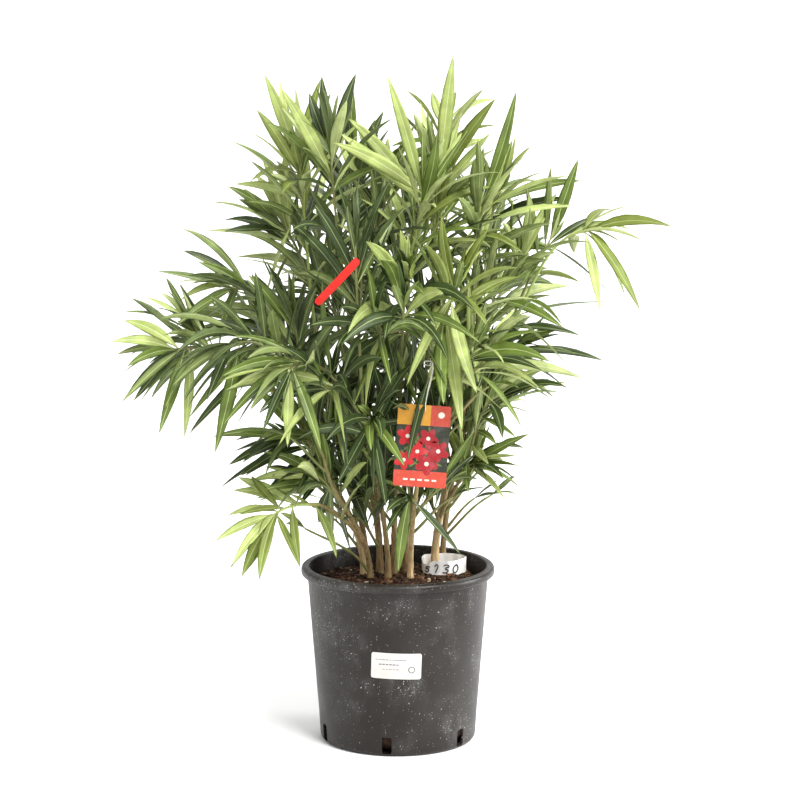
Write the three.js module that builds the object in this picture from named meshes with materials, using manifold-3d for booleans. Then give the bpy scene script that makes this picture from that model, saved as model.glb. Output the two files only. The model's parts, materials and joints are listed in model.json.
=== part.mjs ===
// A potted oleander: a clump of upright canes in a black nursery pot, forking into leafy shoots.
// Units are millimetres. +Z is up, the front is -Y, and the origin is the middle of the pot's flat underside.
import * as THREE from "three";
import { mergeVertices } from "three/addons/utils/BufferGeometryUtils.js";
import Module from "manifold-3d";

const wasm = await Module();
wasm.setup();

const GAP = 0.3; // clear space between two pieces that touch in life
const SHORTEST = 0.01; // edges of a joined solid that are shorter are closed up
const POT = {
  height: 256,
  rimRadius: 140,
  rimHeight: 13,
  rimRounding: 5,
  neckRadius: 131,
  footRadius: 112.5,
  footRounding: 9,
  wall: 3,
  sides: 32,
};
const SLOTS = { count: 6, turn: -8, width: 14, bottom: 4, top: 29 };
const SOIL = { level: 234, flatRadius: 92, edgeDrop: 6 };
const STICKER = { width: 72, height: 38, thickness: 0.5, centre: 136, turn: -1, tilt: -2, steps: 10 };
const CARD = {
  width: 74,
  height: 116,
  thickness: 0.8,
  hole: 2.4,
  holeDrop: 9,
  holeShift: 1.4,
  tilt: -4,
  on: "shoot_front_light",
  at: 0.42,
  hang: [-11, -6, -73],
};
const LOOP = { radius: 0.7, sides: 4, steps: 64, spare: 2 };
const TIE = {
  length: 88,
  width: 11,
  thickness: 0.9,
  strap: 5,
  sides: 12,
  on: "shoot_front_left",
  at: 0.9,
  reach: [-54, -10, -67],
};
const BAND = { centre: [67, 48], half: [32, 27], height: 22, thickness: 0.6, steps: 20 };
const LEAF = {
  length: 150,
  width: 25,
  thickness: 2,
  widest: 0.45, // share of the length
  sink: 0.4, // root inside the twig, sideways
  sunk: 1, // and backwards
  guard: 0.5, // clear space round it
  guardFrom: 0.14, // share of the length that is kept for its own mass
};
// Leaves stand in whorls. The youngest is inset from the tip, and the space between them grows with age.
const WHORL = { leaves: 3, inset: 3, step: 20, widening: 7, evenFrom: 3, onShoot: 0.66, onTwig: 0.8 };
// A leaf that has no room tries again, turned by the next roll and folded in by closer, in degrees.
const RETRY = { rolls: [0, 24, -24, 45], closer: 5 };
// With age, counted in whorls, leaves open, grow to full length and width, and sag.
const AGEING = { open: 64, folded: 50, opensOver: 1.7, short: 0.38, growsOver: 0.8, narrow: 0.55 };
const SAG = { young: 0.1, more: 0.035, until: 5 };
// How far leaves differ from each other.
const VARIETY = { roll: 14, open: 9, twist: 32, length: 0.14, width: 0.12, sag: 0.5 };
const CANE = { sides: 6, steps: 6, flare: 1.4, flareShare: 0.05, tipShare: 0.55 };
const TWIG = { sides: 3, steps: 5, radius: 2.6, tipRadius: 1.5, handle: 0.36 };
// A side twig, in shares of its shoot: where it leaves, how long it is, and how far it goes ahead and aside.
const SIDE_TWIG = {
  at: 0.42,
  atStep: 0.16,
  atVariety: 0.05,
  reach: 0.42,
  reachVariety: 0.08,
  ahead: 0.78,
  aside: 0.6,
  lift: 0.4,
  lowest: 60, // above the compost
  girth: 0.8,
  steps: 4,
  clearFrom: 0.15,
};

// Each cane rises plumb from its foot on the compost [x, y] and leans out to its top [x, y, z].
const CANES = {
  cane_far_left: { foot: [-50, 28], top: [-138, -28, 492], girth: 4.6 },
  cane_left_front: { foot: [-40, 4], top: [-104, -98, 432], girth: 4.2 },
  cane_left: { foot: [-46, 58], top: [-112, 34, 532], girth: 4.8 },
  cane_front_left: { foot: [-14, 6], top: [-50, -92, 520], girth: 4.2 },
  cane_middle_left: { foot: [-26, 32], top: [-66, 0, 602], girth: 5 },
  cane_middle: { foot: [-6, 32], top: [6, -30, 612], girth: 4.6 },
  cane_front: { foot: [18, 4], top: [36, -104, 500], girth: 4.2 },
  cane_middle_right: { foot: [12, 44], top: [46, 6, 612], girth: 4.4 },
  cane_right: { foot: [54, 60], top: [98, 24, 512], girth: 6 },
  cane_right_back: { foot: [66, 88], top: [106, 92, 520], girth: 4.6 },
  cane_back: { foot: [8, 76], top: [14, 112, 552], girth: 4.4 },
  cane_back_left: { foot: [-26, 80], top: [-76, 114, 512], girth: 4.6 },
};

// Each bough leaves a cane at a share of its length and ends where its foliage begins.
const BOUGHS = {
  bough_right: { from: "cane_right", along: 0.5, tip: [160, 4, 600], heading: 62, girth: 3.6 },
  bough_right_low: { from: "cane_right", along: 0.26, tip: [98, -14, 404], heading: 60, girth: 3.2 },
  bough_front_right: { from: "cane_front", along: 0.62, tip: [78, -104, 500], heading: 62, girth: 3 },
  bough_left: { from: "cane_far_left", along: 0.62, tip: [-200, -50, 532], heading: 25, girth: 3.4 },
  bough_left_low: { from: "cane_left_front", along: 0.22, tip: [-112, -88, 362], heading: 20, girth: 3.2 },
};

// Each shoot is one mass of foliage. It leaves a limb at a share of its length and grows to its tip
// [x, y, z], where it points up by heading degrees. turn sets its whorls round it, twigs counts its side
// twigs, and droop scales how far its leaves bend down.
const SHOOTS = {
  shoot_far_left: {
    from: "bough_left", along: 1, tip: [-312, -60, 578], heading: -20,
    turn: 10, twigs: 1, droop: 1.6, leafy: 0.2,
  },
  shoot_left_arch: {
    from: "cane_far_left", along: 1, tip: [-233, 0, 657], heading: -5,
    turn: 50, twigs: 0, droop: 1.2, leafy: 0.25,
  },
  shoot_left_hanging: {
    from: "cane_left_front", along: 1, tip: [-230, -120, 594], heading: -25,
    turn: 0, twigs: 1, droop: 1.4,
  },
  shoot_left_star: {
    from: "cane_front_left", along: 0.85, tip: [-149, -180, 570], heading: -25,
    turn: 30, twigs: 1, droop: 1.5,
  },
  shoot_low_left: {
    from: "bough_left_low", along: 1, tip: [-171, -140, 359], heading: -25,
    turn: 20, twigs: 0, droop: 1.2, leafy: 0,
  },
  shoot_left_low_dark: {
    from: "cane_left", along: 0.45, tip: [-154, -20, 442], heading: 5,
    turn: 0, twigs: 1, droop: 0.8,
  },
  shoot_left_high: {
    from: "cane_left", along: 1, tip: [-165, 20, 745], heading: 50,
    turn: 40, twigs: 0, droop: 0.8, leafy: 0.3,
  },
  shoot_left_mid: {
    from: "cane_far_left", along: 0.92, tip: [-176, 84, 590], heading: 25,
    turn: 15, twigs: 1, droop: 0.9, leafy: 0.5,
  },
  shoot_top_left: {
    from: "cane_left", along: 0.8, tip: [-138, -22, 840], heading: 82,
    turn: 35, twigs: 0, droop: 0.3, leafy: 0.25,
  },
  shoot_top_left_front: {
    from: "cane_middle_left", along: 0.85, tip: [-93, -70, 860], heading: 84,
    turn: 5, twigs: 1, droop: 0.4, leafy: 0.22,
  },
  shoot_top_middle: {
    from: "cane_middle_left", along: 1, tip: [-63, 50, 820], heading: 86,
    turn: 0, twigs: 1, droop: 0.4,
  },
  shoot_top_centre: {
    from: "cane_middle", along: 1, tip: [36, -70, 799], heading: 70,
    turn: 25, twigs: 1, droop: 0.6,
  },
  shoot_top: {
    from: "cane_middle_right", along: 1, tip: [59, -10, 820], heading: 88,
    turn: 42, twigs: 1, droop: 0.2, leafy: 0.15,
  },
  shoot_top_back: {
    from: "cane_middle_right", along: 0.8, tip: [69, 80, 889], heading: 70,
    turn: 20, twigs: 0, droop: 0.6, leafy: 0,
  },
  shoot_top_right: {
    from: "cane_right", along: 1, tip: [116, -30, 778], heading: 74,
    turn: 15, twigs: 1, droop: 0.3, leafy: 0.4,
  },
  shoot_right_back_high: {
    from: "cane_right_back", along: 1, tip: [146, 70, 790], heading: 60,
    turn: 30, twigs: 0, droop: 0.8, leafy: 0.25,
  },
  shoot_right: {
    from: "bough_right", along: 1, tip: [269, -20, 742], heading: 5,
    turn: 55, twigs: 0, droop: 1.3, leafy: 0,
  },
  shoot_right_upright: {
    from: "bough_right", along: 0.8, tip: [217, 30, 722], heading: 58,
    turn: 10, twigs: 0, droop: 0.3, leafy: 0,
  },
  shoot_right_mid: {
    from: "cane_right_back", along: 0.7, tip: [168, 34, 566], heading: 25,
    turn: 25, twigs: 0, droop: 0.7, leafy: 0.3,
  },
  shoot_right_low: {
    from: "bough_right_low", along: 1, tip: [134, -40, 503], heading: 40,
    turn: 5, twigs: 1, droop: 0.8,
  },
  shoot_right_lowest: {
    from: "cane_right", along: 0.42, tip: [106, 10, 396], heading: 5,
    turn: 50, twigs: 0, droop: 0.8, leafy: 0.6,
  },
  shoot_front_light: {
    from: "cane_front", along: 1, tip: [80, -130, 672], heading: 66,
    turn: 30, twigs: 0, droop: 1.8,
  },
  shoot_front: {
    from: "cane_middle", along: 0.8, tip: [10, -160, 683], heading: 40,
    turn: 0, twigs: 1, droop: 1.3,
  },
  shoot_front_left: {
    from: "cane_front_left", along: 1, tip: [-58, -160, 736], heading: 75,
    turn: 45, twigs: 1, droop: 1.1,
  },
  shoot_front_low: {
    from: "cane_front_left", along: 0.55, tip: [-35, -170, 500], heading: 10,
    turn: 20, twigs: 0, droop: 0.9,
  },
  shoot_front_right: {
    from: "bough_front_right", along: 1, tip: [104, -172, 590], heading: 20,
    turn: 35, twigs: 1, droop: 1, leafy: 0.5,
  },
  shoot_centre_low: {
    from: "cane_middle_left", along: 0.36, tip: [-52, -34, 462], heading: 35,
    turn: 10, twigs: 0, droop: 1.3, leafy: 0.75,
  },
  shoot_foot: {
    from: "cane_front", along: 0.42, tip: [16, -58, 366], heading: 10,
    turn: 0, twigs: 0, droop: 1,
  },
  shoot_foot_left: {
    from: "cane_left_front", along: 0.3, tip: [-112, -84, 392], heading: 20,
    turn: 0, twigs: 0, droop: 1, leafy: 0.6,
  },
  shoot_back: {
    from: "cane_back", along: 1, tip: [20, 236, 752], heading: 50,
    turn: 10, twigs: 1, droop: 0.8,
  },
  shoot_back_low: {
    from: "cane_back", along: 0.6, tip: [50, 268, 552], heading: 0,
    turn: 40, twigs: 1, droop: 1,
  },
  shoot_back_left: {
    from: "cane_back_left", along: 1, tip: [-128, 212, 722], heading: 45,
    turn: 0, twigs: 1, droop: 0.8,
  },
  shoot_back_left_low: {
    from: "cane_back_left", along: 0.7, tip: [-228, 178, 572], heading: 5,
    turn: 30, twigs: 1, droop: 1,
  },
  shoot_back_left_lowest: {
    from: "cane_back_left", along: 0.4, tip: [-92, 222, 462], heading: 0,
    turn: 55, twigs: 0, droop: 1,
  },
  shoot_back_right: {
    from: "cane_right_back", along: 0.85, tip: [142, 222, 702], heading: 35,
    turn: 20, twigs: 1, droop: 0.9,
  },
  shoot_back_right_low: {
    from: "cane_right_back", along: 0.5, tip: [142, 190, 512], heading: 0,
    turn: 0, twigs: 0, droop: 1, leafy: 0.5,
  },
};

// The leaves that give the crown its outline. Each leaves its shoot at a share of its length, arches up by
// arch millimetres on its way to its tip [x, y, z], and turns its upper face to the sky, 0, or the front, 1.
const EDGE_LEAVES = {
  shoot_front_low: [
    { at: 0.7, tip: [-16, -160, 372], arch: 8, face: 0.9 },
    { at: 0.95, tip: [-84, -190, 410], arch: 14, face: 0.6 },
    { at: 0.9, tip: [10, -214, 440], arch: 14, face: 0.7 },
  ],
  shoot_top_left: [
    { at: 0.99, tip: [-186, -50, 966], arch: 4, face: 0.9 },
    { at: 0.95, tip: [-206, -60, 815], arch: 45, face: 0.3 },
    { at: 0.92, tip: [-161, -90, 800], arch: 30, face: 0.3 },
    { at: 0.85, tip: [-234, 40, 803], arch: 12, face: 0.5 },
    { at: 0.9, tip: [-110, 70, 952], arch: 6, face: 0.2 },
  ],
  shoot_top_left_front: [
    { at: 0.86, tip: [-161, -100, 948], arch: 10, face: 0.8 },
    { at: 0.99, tip: [-124, -40, 938], arch: 12, face: 0.3 },
    { at: 0.93, tip: [-164, -30, 920], arch: 14, face: 0.7 },
    { at: 0.96, tip: [-72, 10, 935], arch: 8, face: 0.4 },
  ],
  shoot_top_middle: [
    { at: 1, tip: [-63, 64, 935], arch: 2, face: 0.9 },
    { at: 0.96, tip: [-20, 90, 905], arch: 10, face: 0.4 },
  ],
  shoot_top_centre: [
    { at: 0.99, tip: [-89, -140, 876], arch: 12, face: 0.8 },
    { at: 0.94, tip: [-80, -100, 886], arch: 16, face: 0.5 },
    { at: 0.9, tip: [-72, -50, 905], arch: 16, face: 0.6 },
    { at: 0.97, tip: [-15, -96, 966], arch: 2, face: 0.95 },
    { at: 0.86, tip: [54, -130, 889], arch: 4, face: 0.95 },
  ],
  shoot_top: [
    { at: 0.99, tip: [78, -30, 992], arch: 2, face: 0.9 },
    { at: 0.85, tip: [75, 40, 902], arch: 2, face: 0.6 },
    { at: 0.96, tip: [137, -40, 930], arch: 30, face: 0.5 },
    { at: 0.9, tip: [132, 0, 880], arch: 12, face: 0.4 },
  ],
  shoot_top_back: [
    { at: 1, tip: [143, 110, 919], arch: 36, face: 0.4 },
    { at: 0.97, tip: [49, 112, 930], arch: 10, face: 0.6 },
    { at: 0.92, tip: [-12, 120, 850], arch: 16, face: 0.4 },
    { at: 0.96, tip: [84, 60, 935], arch: 10, face: 0.5 },
    { at: 0.9, tip: [142, 70, 885], arch: 20, face: 0.3 },
  ],
  shoot_top_right: [
    { at: 1, tip: [165, -60, 944], arch: 2, face: 0.95 },
    { at: 0.96, tip: [238, -90, 826], arch: 26, face: 0.3 },
  ],
  shoot_right_back_high: [
    { at: 0.8, tip: [252, 60, 780], arch: 40, face: 0.6 },
    { at: 1, tip: [189, 90, 706], arch: 50, face: 0.5 },
    { at: 1, tip: [205, 120, 800], arch: 20, face: 0.4 },
  ],
  shoot_right_upright: [
    { at: 1, tip: [257, 20, 842], arch: 2, face: 0.9 },
    { at: 0.94, tip: [174, -40, 664], arch: 20, face: 0.6 },
    { at: 0.97, tip: [310, 50, 640], arch: 20, face: 0.2 },
    { at: 0.35, tip: [318, 30, 634], arch: 24, face: 0.1 },
    { at: 0.5, tip: [236, -10, 604], arch: 34, face: 0.5 },
    { at: 0.25, tip: [258, -60, 598], arch: 30, face: 0.4 },
  ],
  shoot_right: [
    { at: 1, tip: [387, -50, 750], arch: 60, face: 0.6 },
    { at: 1, tip: [339, -90, 636], arch: 46, face: 0.4 },
    { at: 0.97, tip: [327, 50, 642], arch: 50, face: 0.4 },
    { at: 0.97, tip: [284, -70, 631], arch: 30, face: 0.5 },
    { at: 0.96, tip: [307, 40, 766], arch: 36, face: 0.4 },
    { at: 0.9, tip: [255, 66, 700], arch: 24, face: 0.5 },
    { at: 1, tip: [322, -30, 650], arch: 62, face: 0.6 },
  ],
  shoot_right_mid: [
    { at: 1, tip: [252, -60, 572], arch: 10, face: 0.2 },
    { at: 0.95, tip: [235, 20, 590], arch: 16, face: 0.3 },
    { at: 0.9, tip: [212, 30, 536], arch: 14, face: 0.3 },
  ],
  shoot_right_low: [
    { at: 1, tip: [215, -60, 537], arch: 8, face: 0.4 },
    { at: 0.95, tip: [146, -120, 462], arch: 20, face: 0.5 },
    { at: 0.5, tip: [140, -60, 442], arch: 14, face: 0.5 },
    { at: 0.05, tip: [100, -60, 372], arch: 10, face: 0.7 },
    { at: 0.7, tip: [168, -60, 452], arch: 10, face: 0.4 },
    { at: 0.3, tip: [128, -80, 418], arch: 12, face: 0.7 },
  ],
  shoot_right_lowest: [
    { at: 1, tip: [178, 10, 366], arch: 20, face: 0.3 },
    { at: 0.95, tip: [154, -30, 356], arch: 24, face: 0.6 },
    { at: 0.9, tip: [156, 60, 384], arch: 16, face: 0.3 },
    { at: 0.7, tip: [172, 40, 434], arch: 16, face: 0.2 },
  ],
  shoot_front_light: [
    { at: 0.98, tip: [60, -150, 778], arch: 2, face: 0.9 },
    { at: 0.95, tip: [11, -190, 546], arch: 44, face: 0.4 },
    { at: 0.97, tip: [128, -180, 620], arch: 30, face: 0.3 },
    { at: 0.9, tip: [108, -190, 540], arch: 14, face: 0.7 },
    { at: 0.78, tip: [88, -196, 484], arch: 14, face: 0.8 },
    { at: 0.7, tip: [62, -206, 530], arch: 8, face: 0.8 },
  ],
  shoot_foot: [
    { at: 0.5, tip: [92, -6, 270], arch: 12, face: 0.5 },
    { at: 0.95, tip: [0, -70, 256], arch: 6, face: 0.9 },
  ],
  shoot_foot_left: [
    { at: 0.9, tip: [-200, -96, 372], arch: 16, face: 0.5 },
    { at: 1, tip: [-186, -130, 392], arch: 16, face: 0.5 },
    { at: 0.8, tip: [-113, -90, 326], arch: 8, face: 0.6 },
  ],
  shoot_left_high: [
    { at: 1, tip: [-243, 20, 802], arch: 14, face: 0.5 },
    { at: 0.95, tip: [-245, -30, 742], arch: 20, face: 0.4 },
    { at: 0.85, tip: [-275, 40, 736], arch: 20, face: 0.2 },
  ],
  shoot_left_arch: [
    { at: 0.85, tip: [-283, -20, 698], arch: 20, face: 0.7 },
    { at: 0.97, tip: [-342, -20, 685], arch: 16, face: 0.2 },
    { at: 1, tip: [-312, -60, 612], arch: 30, face: 0.4 },
  ],
  shoot_far_left: [
    { at: 1, tip: [-401, -90, 594], arch: 24, face: 0.5 },
    { at: 0.96, tip: [-388, -30, 616], arch: 34, face: 0.7 },
    { at: 1, tip: [-376, -124, 564], arch: 20, face: 0.6 },
    { at: 0.97, tip: [-372, -80, 508], arch: 26, face: 0.6 },
    { at: 0.9, tip: [-334, -110, 466], arch: 30, face: 0.6 },
    { at: 0.85, tip: [-303, -50, 450], arch: 30, face: 0.6 },
    { at: 0.7, tip: [-326, -96, 500], arch: 40, face: 0.4 },
  ],
  shoot_left_hanging: [
    { at: 1, tip: [-264, -150, 520], arch: 30, face: 0.5 },
    { at: 0.95, tip: [-252, -170, 450], arch: 24, face: 0.5 },
    { at: 0.85, tip: [-296, -60, 480], arch: 24, face: 0.4 },
    { at: 0.7, tip: [-294, -90, 462], arch: 30, face: 0.4 },
  ],
  shoot_left_star: [
    { at: 1, tip: [-206, -230, 532], arch: 16, face: 0.5 },
    { at: 0.97, tip: [-183, -240, 492], arch: 16, face: 0.6 },
    { at: 1, tip: [-150, -214, 466], arch: 10, face: 0.7 },
    { at: 0.97, tip: [-103, -226, 462], arch: 20, face: 0.7 },
  ],
  shoot_left_low_dark: [
    { at: 1, tip: [-242, -40, 409], arch: 10, face: 0.5 },
    { at: 0.92, tip: [-222, -84, 402], arch: 10, face: 0.5 },
    { at: 0.9, tip: [-240, 50, 412], arch: 14, face: 0.3 },
    { at: 0.6, tip: [-193, -60, 367], arch: 12, face: 0.5 },
    { at: 0.4, tip: [-140, -40, 351], arch: 10, face: 0.6 },
  ],
  shoot_low_left: [
    { at: 1, tip: [-253, -170, 327], arch: 10, face: 0.4 },
    { at: 0.96, tip: [-228, -210, 300], arch: 14, face: 0.6 },
    { at: 1, tip: [-216, -180, 278], arch: 6, face: 0.7 },
    { at: 0.92, tip: [-240, -120, 352], arch: 16, face: 0.5 },
    { at: 0.97, tip: [-134, -190, 292], arch: 24, face: 0.5 },
    { at: 0.5, tip: [-226, -80, 400], arch: 16, face: 0.5 },
    { at: 0.1, tip: [-86, -100, 286], arch: 14, face: 0.5 },
    { at: 0.98, tip: [-190, -216, 282], arch: 10, face: 0.6 },
    { at: 0.4, tip: [-233, -90, 383], arch: 14, face: 0.5 },
    { at: 0.75, tip: [-222, -150, 360], arch: 12, face: 0.6 },
    { at: 0.85, tip: [-207, -60, 403], arch: 10, face: 0.5 },
    { at: 0.9, tip: [-213, -170, 281], arch: 8, face: 0.8 },
    { at: 0.6, tip: [-136, -150, 287], arch: 20, face: 0.6 },
  ],
};

// An outline leaf that has no room tries again with its tip moved forwards or back by these.
const EDGE_SHIFTS = [0, 12, -12, 24, -24, 40, -40];

const UP = new THREE.Vector3(0, 0, 1);
const DOWN = new THREE.Vector3(0, 0, -1);
const FRONT = new THREE.Vector3(0, -1, 0);
const radians = THREE.MathUtils.degToRad;
const vector = (place) => new THREE.Vector3(...place);

const FINISHES = {
  pot: { color: 0x2e2d2b, roughness: 0.5 },
  compost: { color: 0x2b1c14, roughness: 1 },
  bark: { color: 0x86735a, roughness: 0.85 },
  leaf: { color: 0x4d6b2e, roughness: 0.45 },
  card: { color: 0xd9523a, roughness: 0.35 },
  paper: { color: 0xeeeae6, roughness: 0.6 },
  tie: { color: 0xe03020, roughness: 0.4 },
};

// The same three whole numbers always give the same value from 0 to 1.
const AXIS_KEY = 31; // sets the leaves of a side twig apart from those of its shoot
const HASH = { keys: [12.9898, 78.233, 37.719], scale: 43758.5453 };
function chance(...keys) {
  const wave = Math.sin(keys.reduce((sum, key, k) => sum + key * HASH.keys[k], 0)) * HASH.scale;
  return wave - Math.floor(wave);
}

// The same value, from -size to size.
function jitter(size, ...keys) {
  return size * (2 * chance(...keys) - 1);
}

// Points of a round corner in a profile: centre, radius, and its first and last angle in degrees.
function bend([across, up], radius, first, last, steps) {
  const angles = Array.from({ length: steps + 1 }, (_, k) => radians(first + ((last - first) * k) / steps));
  return angles.map((angle) => [across + radius * Math.cos(angle), up + radius * Math.sin(angle)]);
}

// A profile of [radius, height] points, anticlockwise round its material, turned about the Z axis.
function turned(profile, sides) {
  const points = profile.map((corner) => new THREE.Vector2(...corner));
  return new THREE.LatheGeometry(points, sides).rotateX(Math.PI / 2);
}

// The outer radius of the pot's wall at a height.
function wallRadius(z) {
  const share = (z - POT.footRounding) / (POT.height - POT.rimHeight - POT.footRounding);
  return POT.footRadius + share * (POT.neckRadius - POT.footRadius);
}

function potGeometry() {
  const { height, rimRadius, rimHeight, rimRounding, neckRadius, footRadius, footRounding, wall } = POT;
  const inside = neckRadius - wall;
  const profile = [
    [0, 0],
    ...bend([footRadius - footRounding, footRounding], footRounding, -90, 0, 3),
    [neckRadius, height - rimHeight],
    ...bend([rimRadius - rimRounding / 2, height - rimHeight + rimRounding / 2], rimRounding / 2, -90, 0, 2),
    ...bend([rimRadius - rimRounding, height - rimRounding], rimRounding, 0, 90, 3),
    ...bend([inside + rimRounding / 2, height - rimRounding / 2], rimRounding / 2, 90, 180, 2),
    [inside, height - rimHeight],
    ...bend([footRadius - footRounding, footRounding], footRounding - wall, 0, -90, 2),
    [0, wall],
  ];
  let pot = solid(turned(profile, POT.sides));
  for (let k = 0; k < SLOTS.count; k++) {
    const slot = new THREE.BoxGeometry(SLOTS.width, 2 * POT.footRounding, SLOTS.top - SLOTS.bottom);
    slot.translate(0, -POT.footRadius, (SLOTS.bottom + SLOTS.top) / 2);
    slot.rotateZ(radians(SLOTS.turn + (360 * k) / SLOTS.count));
    pot = pot.subtract(solid(slot));
  }
  return geometryOf(pot);
}

function soilGeometry() {
  const { footRounding, wall, sides } = POT;
  const bottom = wall + GAP;
  const edge = SOIL.level - SOIL.edgeDrop;
  const clear = wall + GAP;
  const profile = [
    [0, bottom],
    [POT.footRadius - footRounding, bottom],
    [wallRadius(footRounding) - clear, footRounding],
    [wallRadius(edge) - clear, edge],
    [SOIL.flatRadius, SOIL.level],
    [0, SOIL.level],
  ];
  return turned(profile, sides);
}

// A thin label bent round the front of the pot, just clear of its wall.
function stickerGeometry() {
  const { width, height, thickness, centre, turn, tilt, steps } = STICKER;
  const label = new THREE.BoxGeometry(width, height, thickness, steps, 1, 1).rotateZ(radians(tilt));
  const corners = label.attributes.position;
  for (let k = 0; k < corners.count; k++) {
    const z = centre + corners.getY(k);
    const radius = wallRadius(z) + GAP + thickness / 2;
    const angle = radians(turn) + corners.getX(k) / radius;
    const out = radius + corners.getZ(k);
    corners.setXYZ(k, out * Math.sin(angle), -out * Math.cos(angle), z);
  }
  return label;
}

// A card that hangs by its hole, which is at the place given, with its face to the front.
function cardGeometry(hole) {
  const { width, height, thickness, holeDrop, holeShift, tilt } = CARD;
  const top = holeDrop;
  const left = -width / 2 - holeShift;
  const outline = new THREE.Shape();
  outline.moveTo(left, top - height);
  outline.lineTo(left + width, top - height);
  outline.lineTo(left + width, top);
  outline.lineTo(left, top);
  outline.holes.push(new THREE.Path().absarc(0, 0, CARD.hole, 0, 2 * Math.PI, true));
  const settings = { depth: thickness, bevelEnabled: false, curveSegments: 6 };
  const card = new THREE.ExtrudeGeometry(outline, settings);
  return card.translate(0, 0, -thickness / 2).rotateX(Math.PI / 2).rotateY(radians(-tilt)).translate(...hole);
}

// A closed thread that goes round a stem, and through the hole of the card below it.
function loopGeometry(stemPlace, stemRadius, hole) {
  const round = stemRadius + LOOP.radius + 4 * GAP;
  const off = LOOP.radius + CARD.thickness / 2 + GAP;
  const rise = hole.z + CARD.holeDrop + LOOP.spare;
  const points = [
    [0, round, 0],
    [-round, 0, 0],
    [-LOOP.radius - GAP, -round, -2 * round],
  ].map(([x, y, z]) => stemPlace.clone().add(new THREE.Vector3(x, y, z)));
  points.push(new THREE.Vector3(hole.x, hole.y - off, rise));
  points.push(new THREE.Vector3(hole.x, hole.y - off, hole.z + CARD.hole - LOOP.radius));
  points.push(new THREE.Vector3(hole.x, hole.y, hole.z));
  points.push(new THREE.Vector3(hole.x, hole.y + off, hole.z + CARD.hole - LOOP.radius));
  points.push(new THREE.Vector3(hole.x, hole.y + off, rise));
  points.push(stemPlace.clone().add(new THREE.Vector3(LOOP.radius + GAP, -round, -2 * round)));
  points.push(stemPlace.clone().add(new THREE.Vector3(round, 0, 0)));
  const route = new THREE.CatmullRomCurve3(points, true, "centripetal");
  return new THREE.TubeGeometry(route, LOOP.steps, LOOP.radius, LOOP.sides, true);
}

// A flat strip whose strap goes round a stem at the place given. It reaches out and down in front of it.
function tieGeometry(place, along, stemRadius) {
  const { length, width, thickness, strap, sides, reach } = TIE;
  const inner = stemRadius + 2 * GAP;
  const ring = [
    [inner, -strap / 2],
    [inner + thickness, -strap / 2],
    [inner + thickness, strap / 2],
    [inner, strap / 2],
    [inner, -strap / 2],
  ];
  const facing = FRONT.clone().addScaledVector(along, -FRONT.dot(along)).normalize();
  const way = vector(reach).normalize();
  way.addScaledVector(facing, -way.dot(facing)).normalize();
  const toStem = new THREE.Quaternion().setFromUnitVectors(UP, along);
  const round = turned(ring, sides).applyQuaternion(toStem).translate(...place);
  const strip = new THREE.BoxGeometry(length, width, thickness).translate(length / 2 - width / 2, 0, 0);
  const basis = new THREE.Matrix4().makeBasis(way, facing.clone().cross(way), facing);
  const off = inner + thickness;
  strip.applyMatrix4(basis).translate(...place.clone().addScaledVector(facing, off));
  return geometryOf(solid(round).add(solid(strip)));
}

// A paper band that stands on the compost round the foot of a cane.
function bandGeometry() {
  const { centre, half, height, thickness, steps } = BAND;
  const outline = new THREE.Shape().absellipse(0, 0, ...half, 0, 2 * Math.PI);
  const inner = half.map((reach) => reach - thickness);
  outline.holes.push(new THREE.Path().absellipse(0, 0, ...inner, 0, 2 * Math.PI, true));
  const settings = { depth: height, bevelEnabled: false, curveSegments: steps / 2 };
  const band = new THREE.ExtrudeGeometry(outline, settings);
  return band.translate(...centre, SOIL.level + GAP);
}

// A closed skin over rings of corners, each anticlockwise seen from the far end. It starts and ends flat, or
// in a point.
function skin(rings, startPoint, endPoint) {
  const sides = rings[0].length;
  const corners = rings.flat();
  const last = corners.length - sides;
  const faces = [];
  for (let a = 0; a < last; a += sides) {
    for (let k = 0; k < sides; k++) {
      const next = (k + 1) % sides;
      faces.push(a + k, a + next, a + sides + next, a + k, a + sides + next, a + sides + k);
    }
  }
  if (startPoint) {
    for (let k = 0; k < sides; k++) faces.push((k + 1) % sides, k, corners.length);
    corners.push(startPoint);
  } else {
    for (let k = 1; k < sides - 1; k++) faces.push(0, k + 1, k);
  }
  if (endPoint) {
    for (let k = 0; k < sides; k++) faces.push(last + k, last + ((k + 1) % sides), corners.length);
    corners.push(endPoint);
  } else {
    for (let k = 1; k < sides - 1; k++) faces.push(last, last + k, last + k + 1);
  }
  return new THREE.BufferGeometry().setFromPoints(corners).setIndex(faces);
}

// A closed geometry as a solid that can be cut and joined.
function solid(geometry) {
  const bare = geometry.clone();
  bare.deleteAttribute("normal");
  bare.deleteAttribute("uv");
  const merged = mergeVertices(bare, 1e-4);
  const triVerts = new Uint32Array(merged.index.array);
  return new wasm.Manifold(
    new wasm.Mesh({ numProp: 3, vertProperties: merged.attributes.position.array, triVerts }),
  );
}

// A solid as a geometry again. Scraps and sealed hollows are left out: only its largest body is kept.
function geometryOf(made) {
  const bodies = made.simplify(SHORTEST).decompose().sort((a, b) => b.volume() - a.volume());
  const mesh = bodies[0].getMesh();
  const geometry = new THREE.BufferGeometry();
  geometry.setAttribute("position", new THREE.BufferAttribute(new Float32Array(mesh.vertProperties), 3));
  geometry.setIndex(new THREE.BufferAttribute(new Uint32Array(mesh.triVerts), 1));
  return geometry;
}

// A smooth path that leaves start along startWay and comes to end along endWay.
function path(start, startWay, end, endWay) {
  const pull = TWIG.handle * start.distanceTo(end);
  return new THREE.CubicBezierCurve3(
    start,
    start.clone().addScaledVector(startWay, pull),
    end.clone().addScaledVector(endWay, -pull),
    end,
  );
}

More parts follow.
